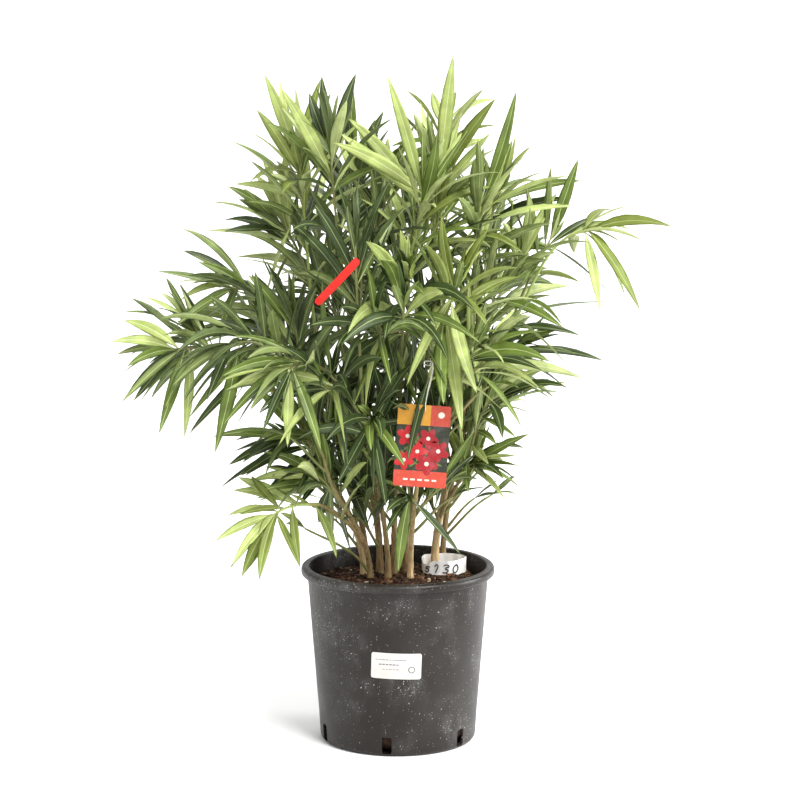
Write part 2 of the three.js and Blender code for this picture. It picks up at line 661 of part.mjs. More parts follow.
// A limb round a path. radiusAt gives its radius at a share of the length, and grow swells and lengthens it.
function limb(curve, radiusAt, sides, steps, grow = 0) {
  const frames = curve.computeFrenetFrames(steps);
  const rings = [];
  for (let i = 0; i <= steps; i++) {
    const centre = curve.getPointAt(i / steps);
    if (i === steps) centre.addScaledVector(frames.tangents[i], grow);
    const radius = radiusAt(i / steps) + grow;
    const corners = [];
    for (let k = 0; k < sides; k++) {
      const angle = (2 * Math.PI * k) / sides;
      const corner = centre.clone().addScaledVector(frames.normals[i], radius * Math.cos(angle));
      corners.push(corner.addScaledVector(frames.binormals[i], radius * Math.sin(angle)));
    }
    rings.push(corners);
  }
  return skin(rings);
}

// A point on the straight stretches of a limb, at a share of its length.
function pointOn({ curve, steps }, u) {
  const first = Math.min(Math.floor(u * steps), steps - 1);
  return curve.getPointAt(first / steps).lerp(curve.getPointAt((first + 1) / steps), u * steps - first);
}

// The way a limb points at its tip: outwards from its start on the level, and up by heading degrees.
function headingWay(start, tip, heading) {
  const level = new THREE.Vector3(tip.x - start.x, tip.y - start.y, 0).normalize();
  const lift = radians(heading);
  return level.multiplyScalar(Math.cos(lift)).addScaledVector(UP, Math.sin(lift));
}

// The path and radius of each cane, which tapers from a flared foot to its top.
function caneLimb({ foot, top, girth }) {
  const start = new THREE.Vector3(foot[0], foot[1], SOIL.level + GAP);
  const end = vector(top);
  const lean = end.clone().sub(start).normalize().add(UP).normalize();
  const radiusAt = (u) => {
    const taper = girth * (1 - (1 - CANE.tipShare) * u);
    return taper * (u < CANE.flareShare ? CANE.flare : 1);
  };
  return { curve: path(start, UP, end, lean), radiusAt, sides: CANE.sides, steps: CANE.steps };
}

// The path and radius of a limb that grows from another one.
function branchLimb(parent, { along, tip, heading }, radiusAt, sides, steps) {
  const start = parent.curve.getPointAt(along);
  const end = vector(tip);
  const outwards = end.clone().sub(start).normalize();
  const startWay = parent.curve.getTangentAt(along).add(outwards).normalize();
  return { curve: path(start, startWay, end, headingWay(start, end, heading)), radiusAt, sides, steps };
}

const limbGeometry = ({ curve, radiusAt, sides, steps }, grow) => limb(curve, radiusAt, sides, steps, grow);

// The corners across a leaf at a share of its length: its two edges and the keel under its rib. It sags from
// its first direction by droop.
function leafRing({ root, way, side, length, sag }, share, half, thick, lift) {
  const ahead = way.clone().addScaledVector(DOWN, 2 * sag * share).normalize();
  const upper = side.clone().cross(ahead).normalize();
  const middle = leafCentre({ root, way, length, sag }, share);
  return [
    middle.clone().addScaledVector(side, half).addScaledVector(upper, lift),
    middle.clone().addScaledVector(upper, -thick),
    middle.clone().addScaledVector(side, -half).addScaledVector(upper, lift),
  ];
}

function leafCentre({ root, way, length, sag }, share) {
  const drop = length * sag * share * share;
  return root.clone().addScaledVector(way, length * share).addScaledVector(DOWN, drop);
}

// A leaf from its root inside the twig, over its widest part, to its tip.
function leafSolid(leaf) {
  const widest = leafRing(leaf, LEAF.widest, leaf.width / 2, LEAF.thickness, 0);
  return skin([widest], leaf.root, leafCentre(leaf, 1));
}

// The space that a leaf keeps to itself, which starts clear of its twig.
function leafGuard(leaf) {
  const { guard, guardFrom, thickness, widest } = LEAF;
  const share = guardFrom / widest;
  const rings = [
    leafRing(leaf, guardFrom, (share * leaf.width) / 2 + guard, share * thickness + guard, guard),
    leafRing(leaf, widest, leaf.width / 2 + guard, thickness + guard, guard),
  ];
  return skin(rings, null, leafCentre(leaf, 1 + guard / leaf.length));
}

// The space round the root of a leaf, which only its own mass may share.
function leafRootGuard(leaf) {
  const share = LEAF.guardFrom / LEAF.widest;
  const half = (share * leaf.width) / 2 + LEAF.guard;
  const ring = leafRing(leaf, LEAF.guardFrom, half, share * LEAF.thickness + LEAF.guard, LEAF.guard);
  return skin([ring], leaf.root);
}

// The leaf that grows at a whorl. age counts whorls back from the tip: old leaves are long and droop.
function leafAt({ place, along, across, age }, droop, keys, turn, attempt) {
  const roll = turn + jitter(VARIETY.roll, ...keys, 1) + RETRY.rolls[attempt];
  const outwards = across.clone().applyAxisAngle(along, radians(roll));
  const opened = AGEING.open - AGEING.folded * Math.exp(-age / AGEING.opensOver);
  const open = radians(opened + jitter(VARIETY.open, ...keys, 2) - attempt * RETRY.closer);
  const way = along.clone().multiplyScalar(Math.cos(open)).addScaledVector(outwards, Math.sin(open));
  const twist = radians(jitter(VARIETY.twist, ...keys, 3));
  const side = outwards.clone().cross(along).applyAxisAngle(way, twist);
  const growth = 1 - AGEING.short * Math.exp(-age / AGEING.growsOver);
  const length = LEAF.length * growth * (1 + jitter(VARIETY.length, ...keys, 4));
  const fullness = AGEING.narrow + (1 - AGEING.narrow) * growth;
  const width = LEAF.width * fullness * (1 + jitter(VARIETY.width, ...keys, 5));
  const weight = SAG.young + SAG.more * Math.min(age, SAG.until);
  const sag = Math.hypot(way.x, way.y) * droop * weight * (1 + jitter(VARIETY.sag, ...keys, 6));
  const root = place.clone().addScaledVector(outwards, -LEAF.sink).addScaledVector(along, -LEAF.sunk);
  return { root, way, side, length, width, sag };
}

// One of the leaves that give the crown its outline. shift moves its tip forwards.
function edgeLeaf(stem, { at, tip, arch, face }, shift) {
  const start = pointOn(stem, at);
  const way = vector(tip).sub(start).addScaledVector(UP, arch).addScaledVector(FRONT, shift);
  const length = way.length();
  way.normalize();
  const upper = UP.clone().multiplyScalar(1 - face).addScaledVector(FRONT, face);
  const side = way.clone().cross(upper).normalize();
  const width = LEAF.width * Math.min(1, AGEING.narrow + ((1 - AGEING.narrow) * length) / LEAF.length);
  return { root: start.addScaledVector(way, -LEAF.sink), way, side, length, width, sag: arch / length };
}

// Where the whorls of an axis sit: close together at the tip, wider apart down to bare wood.
function whorlSpots(length, leafy) {
  const spots = [];
  let back = WHORL.inset;
  for (let age = 0; back < length * leafy; age++) {
    spots.push({ age, u: 1 - back / length });
    back += WHORL.step + WHORL.widening * Math.min(age, WHORL.evenFrom);
  }
  return spots;
}

// What a new leaf or twig has to stay clear of. The roots of one mass may join each other and its own leaves.
const taken = [];
function occupy(geometry, owner, isRoot = false) {
  geometry.computeBoundingBox();
  taken.push({ box: geometry.boundingBox, made: solid(geometry), owner, isRoot });
}

function isFree(geometry, owner, isRoot = false) {
  geometry.computeBoundingBox();
  const made = solid(geometry);
  return !taken.some((other) => {
    if (other.owner === owner && (isRoot || other.isRoot)) return false;
    if (!other.box.intersectsBox(geometry.boundingBox)) return false;
    return !made.intersect(other.made).isEmpty();
  });
}

// Adds a leaf to a mass where there is room for it.
function fitLeaf(leaf, mass, pieces) {
  const guard = leafGuard(leaf);
  const root = leafRootGuard(leaf);
  if (!isFree(guard, mass) || !isFree(root, mass, true)) return false;
  occupy(guard, mass);
  occupy(root, mass, true);
  pieces.push(solid(leafSolid(leaf)));
  return true;
}

// A side twig leaves the shoot's own stem and turns back towards its way.
function sideTwig(stem, mass, index) {
  const { at, atStep, atVariety, reach, reachVariety, ahead, aside, lift, lowest, girth, steps } = SIDE_TWIG;
  const start = pointOn(stem, at + atStep * index + jitter(atVariety, mass, index, 11));
  const along = stem.curve.getTangentAt(0.5);
  const turn = 2 * Math.PI * chance(mass, index, 12);
  const across = UP.clone().cross(along).normalize().applyAxisAngle(along, turn);
  const length = stem.curve.getLength() * (reach + jitter(reachVariety, mass, index, 13));
  const end = start.clone().addScaledVector(along, length * ahead).addScaledVector(across, length * aside);
  end.z = Math.max(end.z, SOIL.level + lowest);
  const startWay = along.clone().add(across).normalize();
  const endWay = along.clone().addScaledVector(UP, lift).normalize();
  const radiusAt = (u) => TWIG.radius * girth + (TWIG.tipRadius - TWIG.radius * girth) * u;
  return { curve: path(start, startWay, end, endWay), radiusAt, sides: TWIG.sides, steps };
}

// The space that a side twig keeps to itself, which starts clear of its shoot.
function twigGuard(twig, grow) {
  const { v1, v2, v3 } = twig.curve;
  const curve = new THREE.CubicBezierCurve3(twig.curve.getPoint(SIDE_TWIG.clearFrom), v1, v2, v3);
  return limbGeometry({ ...twig, curve }, grow);
}

// Where the leaves of a whorl grow from: its place, the way along its twig, and a way across it that
// carries on from the whorl before.
function whorlFrame(axis, { age, u }, before) {
  const along = axis.curve.getTangentAt(u);
  const across = before.clone().addScaledVector(along, -before.dot(along)).normalize();
  return { place: pointOn(axis, u), along, across, age };
}

// Leaves in whorls, each turned by half a step from the one before it.
function growLeaves(axis, shoot, mass, number, pieces) {
  const step = 360 / WHORL.leaves;
  const leafy = number ? WHORL.onTwig : shoot.leafy ?? WHORL.onShoot;
  let across = new THREE.Vector3(1, 0, 0);
  for (const spot of whorlSpots(axis.curve.getLength(), leafy)) {
    const frame = whorlFrame(axis, spot, across);
    across = frame.across;
    for (let k = 0; k < WHORL.leaves; k++) {
      const turn = shoot.turn + step * (k + (spot.age % 2) / 2);
      const keys = [mass, number * AXIS_KEY + spot.age * WHORL.leaves + k];
      const grow = (attempt) => fitLeaf(leafAt(frame, shoot.droop, keys, turn, attempt), mass, pieces);
      RETRY.rolls.some((_, attempt) => grow(attempt));
    }
  }
}

function mesh(name, geometry, { color, roughness }) {
  const made = new THREE.Mesh(geometry, new THREE.MeshStandardMaterial({ color, roughness, metalness: 0 }));
  made.name = name;
  return made;
}

const plant = new THREE.Group();
plant.name = "potted_oleander";

function addPiece(name, geometry, finish) {
  plant.add(mesh(name, geometry, finish));
  occupy(geometry);
}

const limbs = {};
for (const [name, cane] of Object.entries(CANES)) {
  limbs[name] = caneLimb(cane);
  plant.add(mesh(name, limbGeometry(limbs[name]), FINISHES.bark));
}
for (const [name, bough] of Object.entries(BOUGHS)) {
  const radiusAt = (u) => bough.girth * (1 - 0.3 * u);
  limbs[name] = branchLimb(limbs[bough.from], bough, radiusAt, CANE.sides, CANE.steps);
  const cut = solid(limbGeometry(limbs[name])).subtract(solid(limbGeometry(limbs[bough.from], GAP)));
  plant.add(mesh(name, geometryOf(cut), FINISHES.bark));
}
for (const grown of Object.values(limbs)) occupy(limbGeometry(grown, 2 * GAP));

const stemRadius = (u) => TWIG.radius + (TWIG.tipRadius - TWIG.radius) * u;
const masses = Object.entries(SHOOTS).map(([name, shoot], mass) => {
  const stem = branchLimb(limbs[shoot.from], shoot, stemRadius, TWIG.sides, TWIG.steps);
  return { name, shoot, mass, axes: [stem], pieces: [solid(limbGeometry(stem))] };
});
for (const { axes, mass } of masses) occupy(limbGeometry(axes[0], 2 * GAP), mass);

addPiece("pot", potGeometry(), FINISHES.pot);
addPiece("compost", soilGeometry(), FINISHES.compost);
addPiece("pot_sticker", stickerGeometry(), FINISHES.paper);
addPiece("paper_band", bandGeometry(), FINISHES.paper);
const lightStem = masses.find(({ name }) => name === CARD.on).axes[0];
const knot = pointOn(lightStem, CARD.at);
const hole = knot.clone().add(vector(CARD.hang));
addPiece("hang_card", cardGeometry(hole), FINISHES.card);
addPiece("card_loop", loopGeometry(knot, stemRadius(CARD.at), hole), FINISHES.paper);
const tieStem = masses.find(({ name }) => name === TIE.on).axes[0];
const tieWay = tieStem.curve.getTangentAt(TIE.at);
addPiece("red_tie", tieGeometry(pointOn(tieStem, TIE.at), tieWay, stemRadius(TIE.at)), FINISHES.tie);

for (const { shoot, mass, axes, pieces } of masses) {
  for (let index = 0; index < shoot.twigs; index++) {
    const twig = sideTwig(axes[0], mass, index);
    if (!isFree(twigGuard(twig, GAP), mass)) continue;
    occupy(twigGuard(twig, 2 * GAP), mass);
    axes.push(twig);
    pieces.push(solid(limbGeometry(twig)));
  }
}
for (const { name, mass, axes, pieces } of masses) {
  for (const row of EDGE_LEAVES[name] ?? []) {
    EDGE_SHIFTS.some((shift) => fitLeaf(edgeLeaf(axes[0], row, shift), mass, pieces));
  }
}
for (const { name, shoot, mass, axes, pieces } of masses) {
  axes.forEach((axis, number) => growLeaves(axis, shoot, mass, number, pieces));
  const parent = solid(limbGeometry(limbs[shoot.from], GAP));
  plant.add(mesh(name, geometryOf(wasm.Manifold.union(pieces).subtract(parent)), FINISHES.leaf));
}

export default plant;
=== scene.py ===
"""A potted oleander, dressed: a clump of upright canes in a black nursery pot, forking into leafy shoots.

Sizes are in millimetres, and a mesh is turned to metres as it is made. +Z is up, the front is -Y, and the
origin is the middle of the pot's flat underside.
"""
import json
import logging
from collections.abc import Callable, Iterable, Sequence
from dataclasses import dataclass, field, replace
from enum import Enum
from functools import partial
from math import atan2, cos, exp, floor, hypot, pi, radians, sin, sqrt

import bmesh
import bpy
import numpy as np
from mathutils import Matrix, Quaternion, Vector, noise
from mathutils.bvhtree import BVHTree

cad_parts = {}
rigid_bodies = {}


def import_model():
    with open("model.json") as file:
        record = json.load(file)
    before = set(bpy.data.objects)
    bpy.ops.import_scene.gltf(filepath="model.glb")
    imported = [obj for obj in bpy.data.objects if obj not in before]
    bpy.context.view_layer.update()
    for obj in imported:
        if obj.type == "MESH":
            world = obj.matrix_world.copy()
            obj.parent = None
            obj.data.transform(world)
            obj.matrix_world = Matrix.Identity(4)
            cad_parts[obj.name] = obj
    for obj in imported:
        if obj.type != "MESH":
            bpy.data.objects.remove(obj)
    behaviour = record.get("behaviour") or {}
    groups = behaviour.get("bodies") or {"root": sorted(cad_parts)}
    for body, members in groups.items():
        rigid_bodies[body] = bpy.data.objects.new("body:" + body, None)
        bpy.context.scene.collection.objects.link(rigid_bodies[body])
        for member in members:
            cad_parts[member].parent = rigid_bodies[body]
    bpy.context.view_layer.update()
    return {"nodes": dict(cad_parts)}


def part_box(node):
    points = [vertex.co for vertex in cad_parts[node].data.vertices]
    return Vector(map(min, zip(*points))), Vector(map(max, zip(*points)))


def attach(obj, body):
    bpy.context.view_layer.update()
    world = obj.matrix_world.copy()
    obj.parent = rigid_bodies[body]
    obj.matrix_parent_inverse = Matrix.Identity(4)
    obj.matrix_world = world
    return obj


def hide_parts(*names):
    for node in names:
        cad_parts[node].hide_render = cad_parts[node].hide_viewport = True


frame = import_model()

LOG = logging.getLogger("potted_oleander")
MM = 0.001
BODY = "root"
UP = Vector((0, 0, 1))
DOWN = Vector((0, 0, -1))
FRONT = Vector((0, -1, 0))

Spot = tuple[float, float]
Place = tuple[float, float, float]
Colour = tuple[float, float, float]
Made = bmesh.types.BMesh
Piece = bpy.types.Object
Material = bpy.types.Material
Socket = bpy.types.NodeSocket
Value = Socket | Colour | float
Key = int | str
Radius = Callable[[float], float]
Relief = Callable[[Vector, float], float]



class Tone(Enum):
    """How light the green of a leaf is, from the oldest leaves to the youngest, and partly painted light: darker
    tones on masses low, inside and on the left of the crown are painted shade, lighter tones on top are painted
    light.
    """

    DARK = 0
    MID = 1
    LIGHT = 2
    LIME = 3


class Skin(Enum):
    """The parts of a leaf's surface that have a finish of their own."""

    UPPER = 0
    UNDER = 1
    RIB = 2


class Region(Enum):
    """The parts of the crown whose leaves are joined into one piece."""

    LEFT = "left"
    TOP = "top"
    RIGHT = "right"
    FRONT = "front"
    BACK = "back"


@dataclass(frozen=True)
class Cane:
    """A cane that rises plumb from its foot on the compost and leans out to its top."""

    foot: Spot
    top: Place
    girth: float

    LOSS = 0.45  # the share of its girth that it has lost at its top
    FLARE = 0.4
    FLARE_SHARE = 0.03


@dataclass(frozen=True)
class Bough:
    """A limb that leaves a cane at a share of its length and ends where its foliage begins."""

    parent: str
    along: float
    tip: Place
    heading: float
    girth: float

    LOSS = 0.3


@dataclass(frozen=True)
class Shoot:
    """A mass of foliage: where its stem leaves a limb and ends, and how its leaves sit on it."""

    parent: str
    along: float
    tip: Place
    heading: float
    turn: float
    twigs: int
    droop: float
    leafy: float = 0.66
    tone: Tone = Tone.MID


@dataclass(frozen=True)
class EdgeLeaf:
    """An outline leaf of the crown: where it leaves its shoot, its tip, its arch and its facing."""

    at: float
    tip: Place
    arch: float
    face: float


def edge_leaves(*rows: tuple[float, ...]) -> tuple[EdgeLeaf, ...]:
    """The outline leaves of a mass, from rows of its values."""
    return tuple(EdgeLeaf(at, (x, y, z), arch, face) for at, x, y, z, arch, face in rows)


# The same limbs, masses and outline leaves as the solids have.
CANES: dict[str, Cane] = {
    "cane_far_left": Cane((-50, 28), (-138, -28, 492), 4.6),
    "cane_left_front": Cane((-40, 4), (-104, -98, 432), 4.2),
    "cane_left": Cane((-46, 58), (-112, 34, 532), 4.8),
    "cane_front_left": Cane((-14, 6), (-50, -92, 520), 4.2),
    "cane_middle_left": Cane((-26, 32), (-66, 0, 602), 5),
    "cane_middle": Cane((-6, 32), (6, -30, 612), 4.6),
    "cane_front": Cane((18, 4), (36, -104, 500), 4.2),
    "cane_middle_right": Cane((12, 44), (46, 6, 612), 4.4),
    "cane_right": Cane((54, 60), (98, 24, 512), 6),
    "cane_right_back": Cane((66, 88), (106, 92, 520), 4.6),
    "cane_back": Cane((8, 76), (14, 112, 552), 4.4),
    "cane_back_left": Cane((-26, 80), (-76, 114, 512), 4.6),
}

BOUGHS: dict[str, Bough] = {
    "bough_right": Bough("cane_right", 0.5, (160, 4, 600), 62, 3.6),
    "bough_right_low": Bough("cane_right", 0.26, (98, -14, 404), 60, 3.2),
    "bough_front_right": Bough("cane_front", 0.62, (78, -104, 500), 62, 3),
    "bough_left": Bough("cane_far_left", 0.62, (-200, -50, 532), 25, 3.4),
    "bough_left_low": Bough("cane_left_front", 0.22, (-112, -88, 362), 20, 3.2),
}

# A mass's tone is partly painted light: the low, inner and left-hand masses take darker tones as painted shade,
# and the top masses take lighter tones as painted light.
SHOOTS: dict[str, Shoot] = {
    "shoot_far_left": Shoot("bough_left", 1, (-312, -60, 578), -20, 10, 1, 1.6, 0.2),
    "shoot_left_arch": Shoot("cane_far_left", 1, (-233, 0, 657), -5, 50, 0, 1.2, 0.25),
    "shoot_left_hanging": Shoot("cane_left_front", 1, (-230, -120, 594), -25, 0, 1, 1.4, 0.66, Tone.DARK),
    "shoot_left_star": Shoot("cane_front_left", 0.85, (-149, -180, 570), -25, 30, 1, 1.5),
    "shoot_low_left": Shoot("bough_left_low", 1, (-171, -140, 359), -25, 20, 0, 1.2, 0, Tone.LIME),
    "shoot_left_low_dark": Shoot("cane_left", 0.45, (-154, -20, 442), 5, 0, 1, 0.8, 0.66, Tone.DARK),
    "shoot_left_high": Shoot("cane_left", 1, (-165, 20, 745), 50, 40, 0, 0.8, 0.3),
    "shoot_left_mid": Shoot("cane_far_left", 0.92, (-176, 84, 590), 25, 15, 1, 0.9, 0.5, Tone.DARK),
    "shoot_top_left": Shoot("cane_left", 0.8, (-138, -22, 840), 82, 35, 0, 0.3, 0.25, Tone.LIGHT),
    "shoot_top_left_front": Shoot("cane_middle_left", 0.85, (-93, -70, 860), 84, 5, 1, 0.4, 0.22),
    "shoot_top_middle": Shoot("cane_middle_left", 1, (-63, 50, 820), 86, 0, 1, 0.4, 0.66, Tone.DARK),
    "shoot_top_centre": Shoot("cane_middle", 1, (36, -70, 799), 70, 25, 1, 0.6, 0.66, Tone.LIGHT),
    "shoot_top": Shoot("cane_middle_right", 1, (59, -10, 820), 88, 42, 1, 0.2, 0.15, Tone.LIGHT),
    "shoot_top_back": Shoot("cane_middle_right", 0.8, (69, 80, 889), 70, 20, 0, 0.6, 0, Tone.LIGHT),
    "shoot_top_right": Shoot("cane_right", 1, (116, -30, 778), 74, 15, 1, 0.3, 0.4, Tone.LIGHT),
    "shoot_right_back_high": Shoot("cane_right_back", 1, (146, 70, 790), 60, 30, 0, 0.8, 0.25),
    "shoot_right": Shoot("bough_right", 1, (269, -20, 742), 5, 55, 0, 1.3, 0, Tone.LIME),
    "shoot_right_upright": Shoot("bough_right", 0.8, (217, 30, 722), 58, 10, 0, 0.3, 0),
    "shoot_right_mid": Shoot("cane_right_back", 0.7, (168, 34, 566), 25, 25, 0, 0.7, 0.3),
    "shoot_right_low": Shoot("bough_right_low", 1, (134, -40, 503), 40, 5, 1, 0.8),
    "shoot_right_lowest": Shoot("cane_right", 0.42, (106, 10, 396), 5, 50, 0, 0.8, 0.6),
    "shoot_front_light": Shoot("cane_front", 1, (80, -130, 672), 66, 30, 0, 1.8, 0.66, Tone.LIGHT),
    "shoot_front": Shoot("cane_middle", 0.8, (10, -160, 683), 40, 0, 1, 1.3),
    "shoot_front_left": Shoot("cane_front_left", 1, (-58, -160, 736), 75, 45, 1, 1.1, 0.66, Tone.DARK),
    "shoot_front_low": Shoot("cane_front_left", 0.55, (-35, -170, 500), 10, 20, 0, 0.9, 0.66, Tone.DARK),
    "shoot_front_right": Shoot("bough_front_right", 1, (104, -172, 590), 20, 35, 1, 1, 0.5),
    "shoot_centre_low": Shoot("cane_middle_left", 0.36, (-52, -34, 462), 35, 10, 0, 1.3, 0.75, Tone.DARK),
    "shoot_foot": Shoot("cane_front", 0.42, (16, -58, 366), 10, 0, 0, 1, 0.66, Tone.DARK),
    "shoot_foot_left": Shoot("cane_left_front", 0.3, (-112, -84, 392), 20, 0, 0, 1, 0.6),
    "shoot_back": Shoot("cane_back", 1, (20, 236, 752), 50, 10, 1, 0.8),
    "shoot_back_low": Shoot("cane_back", 0.6, (50, 268, 552), 0, 40, 1, 1, 0.66, Tone.DARK),
    "shoot_back_left": Shoot("cane_back_left", 1, (-128, 212, 722), 45, 0, 1, 0.8),
    "shoot_back_left_low": Shoot("cane_back_left", 0.7, (-228, 178, 572), 5, 30, 1, 1, 0.66, Tone.DARK),
    "shoot_back_left_lowest": Shoot("cane_back_left", 0.4, (-92, 222, 462), 0, 55, 0, 1, 0.66, Tone.DARK),
    "shoot_back_right": Shoot("cane_right_back", 0.85, (142, 222, 702), 35, 20, 1, 0.9),
    "shoot_back_right_low": Shoot("cane_right_back", 0.5, (142, 190, 512), 0, 0, 0, 1, 0.5, Tone.DARK),
}

EDGE_LEAVES: dict[str, tuple[EdgeLeaf, ...]] = {
    "shoot_front_low": edge_leaves(
        (0.7, -16, -160, 372, 8, 0.9), (0.95, -84, -190, 410, 14, 0.6), (0.9, 10, -214, 440, 14, 0.7),
    ),
    "shoot_top_left": edge_leaves(
        (0.99, -186, -50, 966, 4, 0.9), (0.95, -206, -60, 815, 45, 0.3), (0.92, -161, -90, 800, 30, 0.3),
        (0.85, -234, 40, 803, 12, 0.5), (0.9, -110, 70, 952, 6, 0.2),
    ),
    "shoot_top_left_front": edge_leaves(
        (0.86, -161, -100, 948, 10, 0.8), (0.99, -124, -40, 938, 12, 0.3), (0.93, -164, -30, 920, 14, 0.7),
        (0.96, -72, 10, 935, 8, 0.4),
    ),
    "shoot_top_middle": edge_leaves((1, -63, 64, 935, 2, 0.9), (0.96, -20, 90, 905, 10, 0.4)),
    "shoot_top_centre": edge_leaves(
        (0.99, -89, -140, 876, 12, 0.8), (0.94, -80, -100, 886, 16, 0.5), (0.9, -72, -50, 905, 16, 0.6),
        (0.97, -15, -96, 966, 2, 0.95), (0.86, 54, -130, 889, 4, 0.95),
    ),
    "shoot_top": edge_leaves(
        (0.99, 78, -30, 992, 2, 0.9), (0.85, 75, 40, 902, 2, 0.6), (0.96, 137, -40, 930, 30, 0.5),
        (0.9, 132, 0, 880, 12, 0.4),
    ),
    "shoot_top_back": edge_leaves(
        (1, 143, 110, 919, 36, 0.4), (0.97, 49, 112, 930, 10, 0.6), (0.92, -12, 120, 850, 16, 0.4),
        (0.96, 84, 60, 935, 10, 0.5), (0.9, 142, 70, 885, 20, 0.3),
    ),
    "shoot_top_right": edge_leaves((1, 165, -60, 944, 2, 0.95), (0.96, 238, -90, 826, 26, 0.3)),
    "shoot_right_back_high": edge_leaves(
        (0.8, 252, 60, 780, 40, 0.6), (1, 189, 90, 706, 50, 0.5), (1, 205, 120, 800, 20, 0.4),
    ),
    "shoot_right_upright": edge_leaves(
        (1, 257, 20, 842, 2, 0.9), (0.94, 174, -40, 664, 20, 0.6), (0.97, 310, 50, 640, 20, 0.2),
        (0.35, 318, 30, 634, 24, 0.1), (0.5, 236, -10, 604, 34, 0.5), (0.25, 258, -60, 598, 30, 0.4),
    ),
    "shoot_right": edge_leaves(
        (1, 387, -50, 750, 60, 0.6), (1, 339, -90, 636, 46, 0.4), (0.97, 327, 50, 642, 50, 0.4),
        (0.97, 284, -70, 631, 30, 0.5), (0.96, 307, 40, 766, 36, 0.4), (0.9, 255, 66, 700, 24, 0.5),
        (1, 322, -30, 650, 62, 0.6),
    ),
    "shoot_right_mid": edge_leaves(
        (1, 252, -60, 572, 10, 0.2), (0.95, 235, 20, 590, 16, 0.3), (0.9, 212, 30, 536, 14, 0.3),
    ),
    "shoot_right_low": edge_leaves(
        (1, 215, -60, 537, 8, 0.4), (0.95, 146, -120, 462, 20, 0.5), (0.5, 140, -60, 442, 14, 0.5),
        (0.05, 100, -60, 372, 10, 0.7), (0.7, 168, -60, 452, 10, 0.4), (0.3, 128, -80, 418, 12, 0.7),
    ),
    "shoot_right_lowest": edge_leaves(
        (1, 178, 10, 366, 20, 0.3), (0.95, 154, -30, 356, 24, 0.6), (0.9, 156, 60, 384, 16, 0.3),
        (0.7, 172, 40, 434, 16, 0.2),
    ),
    "shoot_front_light": edge_leaves(
        (0.98, 60, -150, 778, 2, 0.9), (0.95, 11, -190, 546, 44, 0.4), (0.97, 128, -180, 620, 30, 0.3),
        (0.9, 108, -190, 540, 14, 0.7), (0.78, 88, -196, 484, 14, 0.8), (0.7, 62, -206, 530, 8, 0.8),
    ),
    "shoot_foot": edge_leaves((0.5, 92, -6, 270, 12, 0.5), (0.95, 0, -70, 256, 6, 0.9)),
    "shoot_foot_left": edge_leaves(
        (0.9, -200, -96, 372, 16, 0.5), (1, -186, -130, 392, 16, 0.5), (0.8, -113, -90, 326, 8, 0.6),
    ),
    "shoot_left_high": edge_leaves(
        (1, -243, 20, 802, 14, 0.5), (0.95, -245, -30, 742, 20, 0.4), (0.85, -275, 40, 736, 20, 0.2),
    ),
    "shoot_left_arch": edge_leaves(
        (0.85, -283, -20, 698, 20, 0.7), (0.97, -342, -20, 685, 16, 0.2), (1, -312, -60, 612, 30, 0.4),
    ),
    "shoot_far_left": edge_leaves(
        (1, -401, -90, 594, 24, 0.5), (0.96, -388, -30, 616, 34, 0.7), (1, -376, -124, 564, 20, 0.6),
        (0.97, -372, -80, 508, 26, 0.6), (0.9, -334, -110, 466, 30, 0.6), (0.85, -303, -50, 450, 30, 0.6),
        (0.7, -326, -96, 500, 40, 0.4),
    ),
    "shoot_left_hanging": edge_leaves(
        (1, -264, -150, 520, 30, 0.5), (0.95, -252, -170, 450, 24, 0.5), (0.85, -296, -60, 480, 24, 0.4),
        (0.7, -294, -90, 462, 30, 0.4),
    ),
    "shoot_left_star": edge_leaves(
        (1, -206, -230, 532, 16, 0.5), (0.97, -183, -240, 492, 16, 0.6), (1, -150, -214, 466, 10, 0.7),
        (0.97, -103, -226, 462, 20, 0.7),
    ),
    "shoot_left_low_dark": edge_leaves(
        (1, -242, -40, 409, 10, 0.5), (0.92, -222, -84, 402, 10, 0.5), (0.9, -240, 50, 412, 14, 0.3),
        (0.6, -193, -60, 367, 12, 0.5), (0.4, -140, -40, 351, 10, 0.6),
    ),
    "shoot_low_left": edge_leaves(
        (1, -253, -170, 327, 10, 0.4), (0.96, -228, -210, 300, 14, 0.6), (1, -216, -180, 278, 6, 0.7),
        (0.92, -240, -120, 352, 16, 0.5), (0.97, -134, -190, 292, 24, 0.5), (0.5, -226, -80, 400, 16, 0.5),
        (0.1, -86, -100, 286, 14, 0.5), (0.98, -190, -216, 282, 10, 0.6), (0.4, -233, -90, 383, 14, 0.5),
        (0.75, -222, -150, 360, 12, 0.6), (0.85, -207, -60, 403, 10, 0.5), (0.9, -213, -170, 281, 8, 0.8),
        (0.6, -136, -150, 287, 20, 0.6),
    ),
}

# Thin sprigs that are too slight for a mass of their own.
SPRIGS: list[Shoot] = [
    Shoot("cane_left_front", 0.02, (-132, -46, 318), 30, 20, 0, 1.0, 0.85, Tone.MID),
    Shoot("bough_right_low", 0.2, (108, 4, 396), 60, 10, 0, 0.8, 0.35, Tone.LIGHT),
    Shoot("cane_right", 0.34, (112, 30, 452), 62, 40, 0, 0.9, 0.5, Tone.MID),
    Shoot("cane_middle_left", 0.2, (-70, -30, 372), 30, 5, 0, 1.3, 0.8, Tone.DARK),
    Shoot("cane_middle", 0.22, (-24, -44, 392), 35, 25, 0, 1.4, 0.8, Tone.DARK),
    Shoot("cane_front", 0.3, (2, -70, 420), 30, 15, 0, 1.4, 0.8, Tone.DARK),
    Shoot("cane_far_left", 0.34, (-148, -44, 398), 10, 35, 0, 1.1, 0.8, Tone.MID),
    Shoot("cane_left_front", 0.5, (-132, -108, 412), 5, 15, 0, 1.2, 0.8, Tone.DARK),
    Shoot("bough_left_low", 0.45, (-122, -52, 352), 15, 50, 0, 1.1, 0.8, Tone.MID),
]

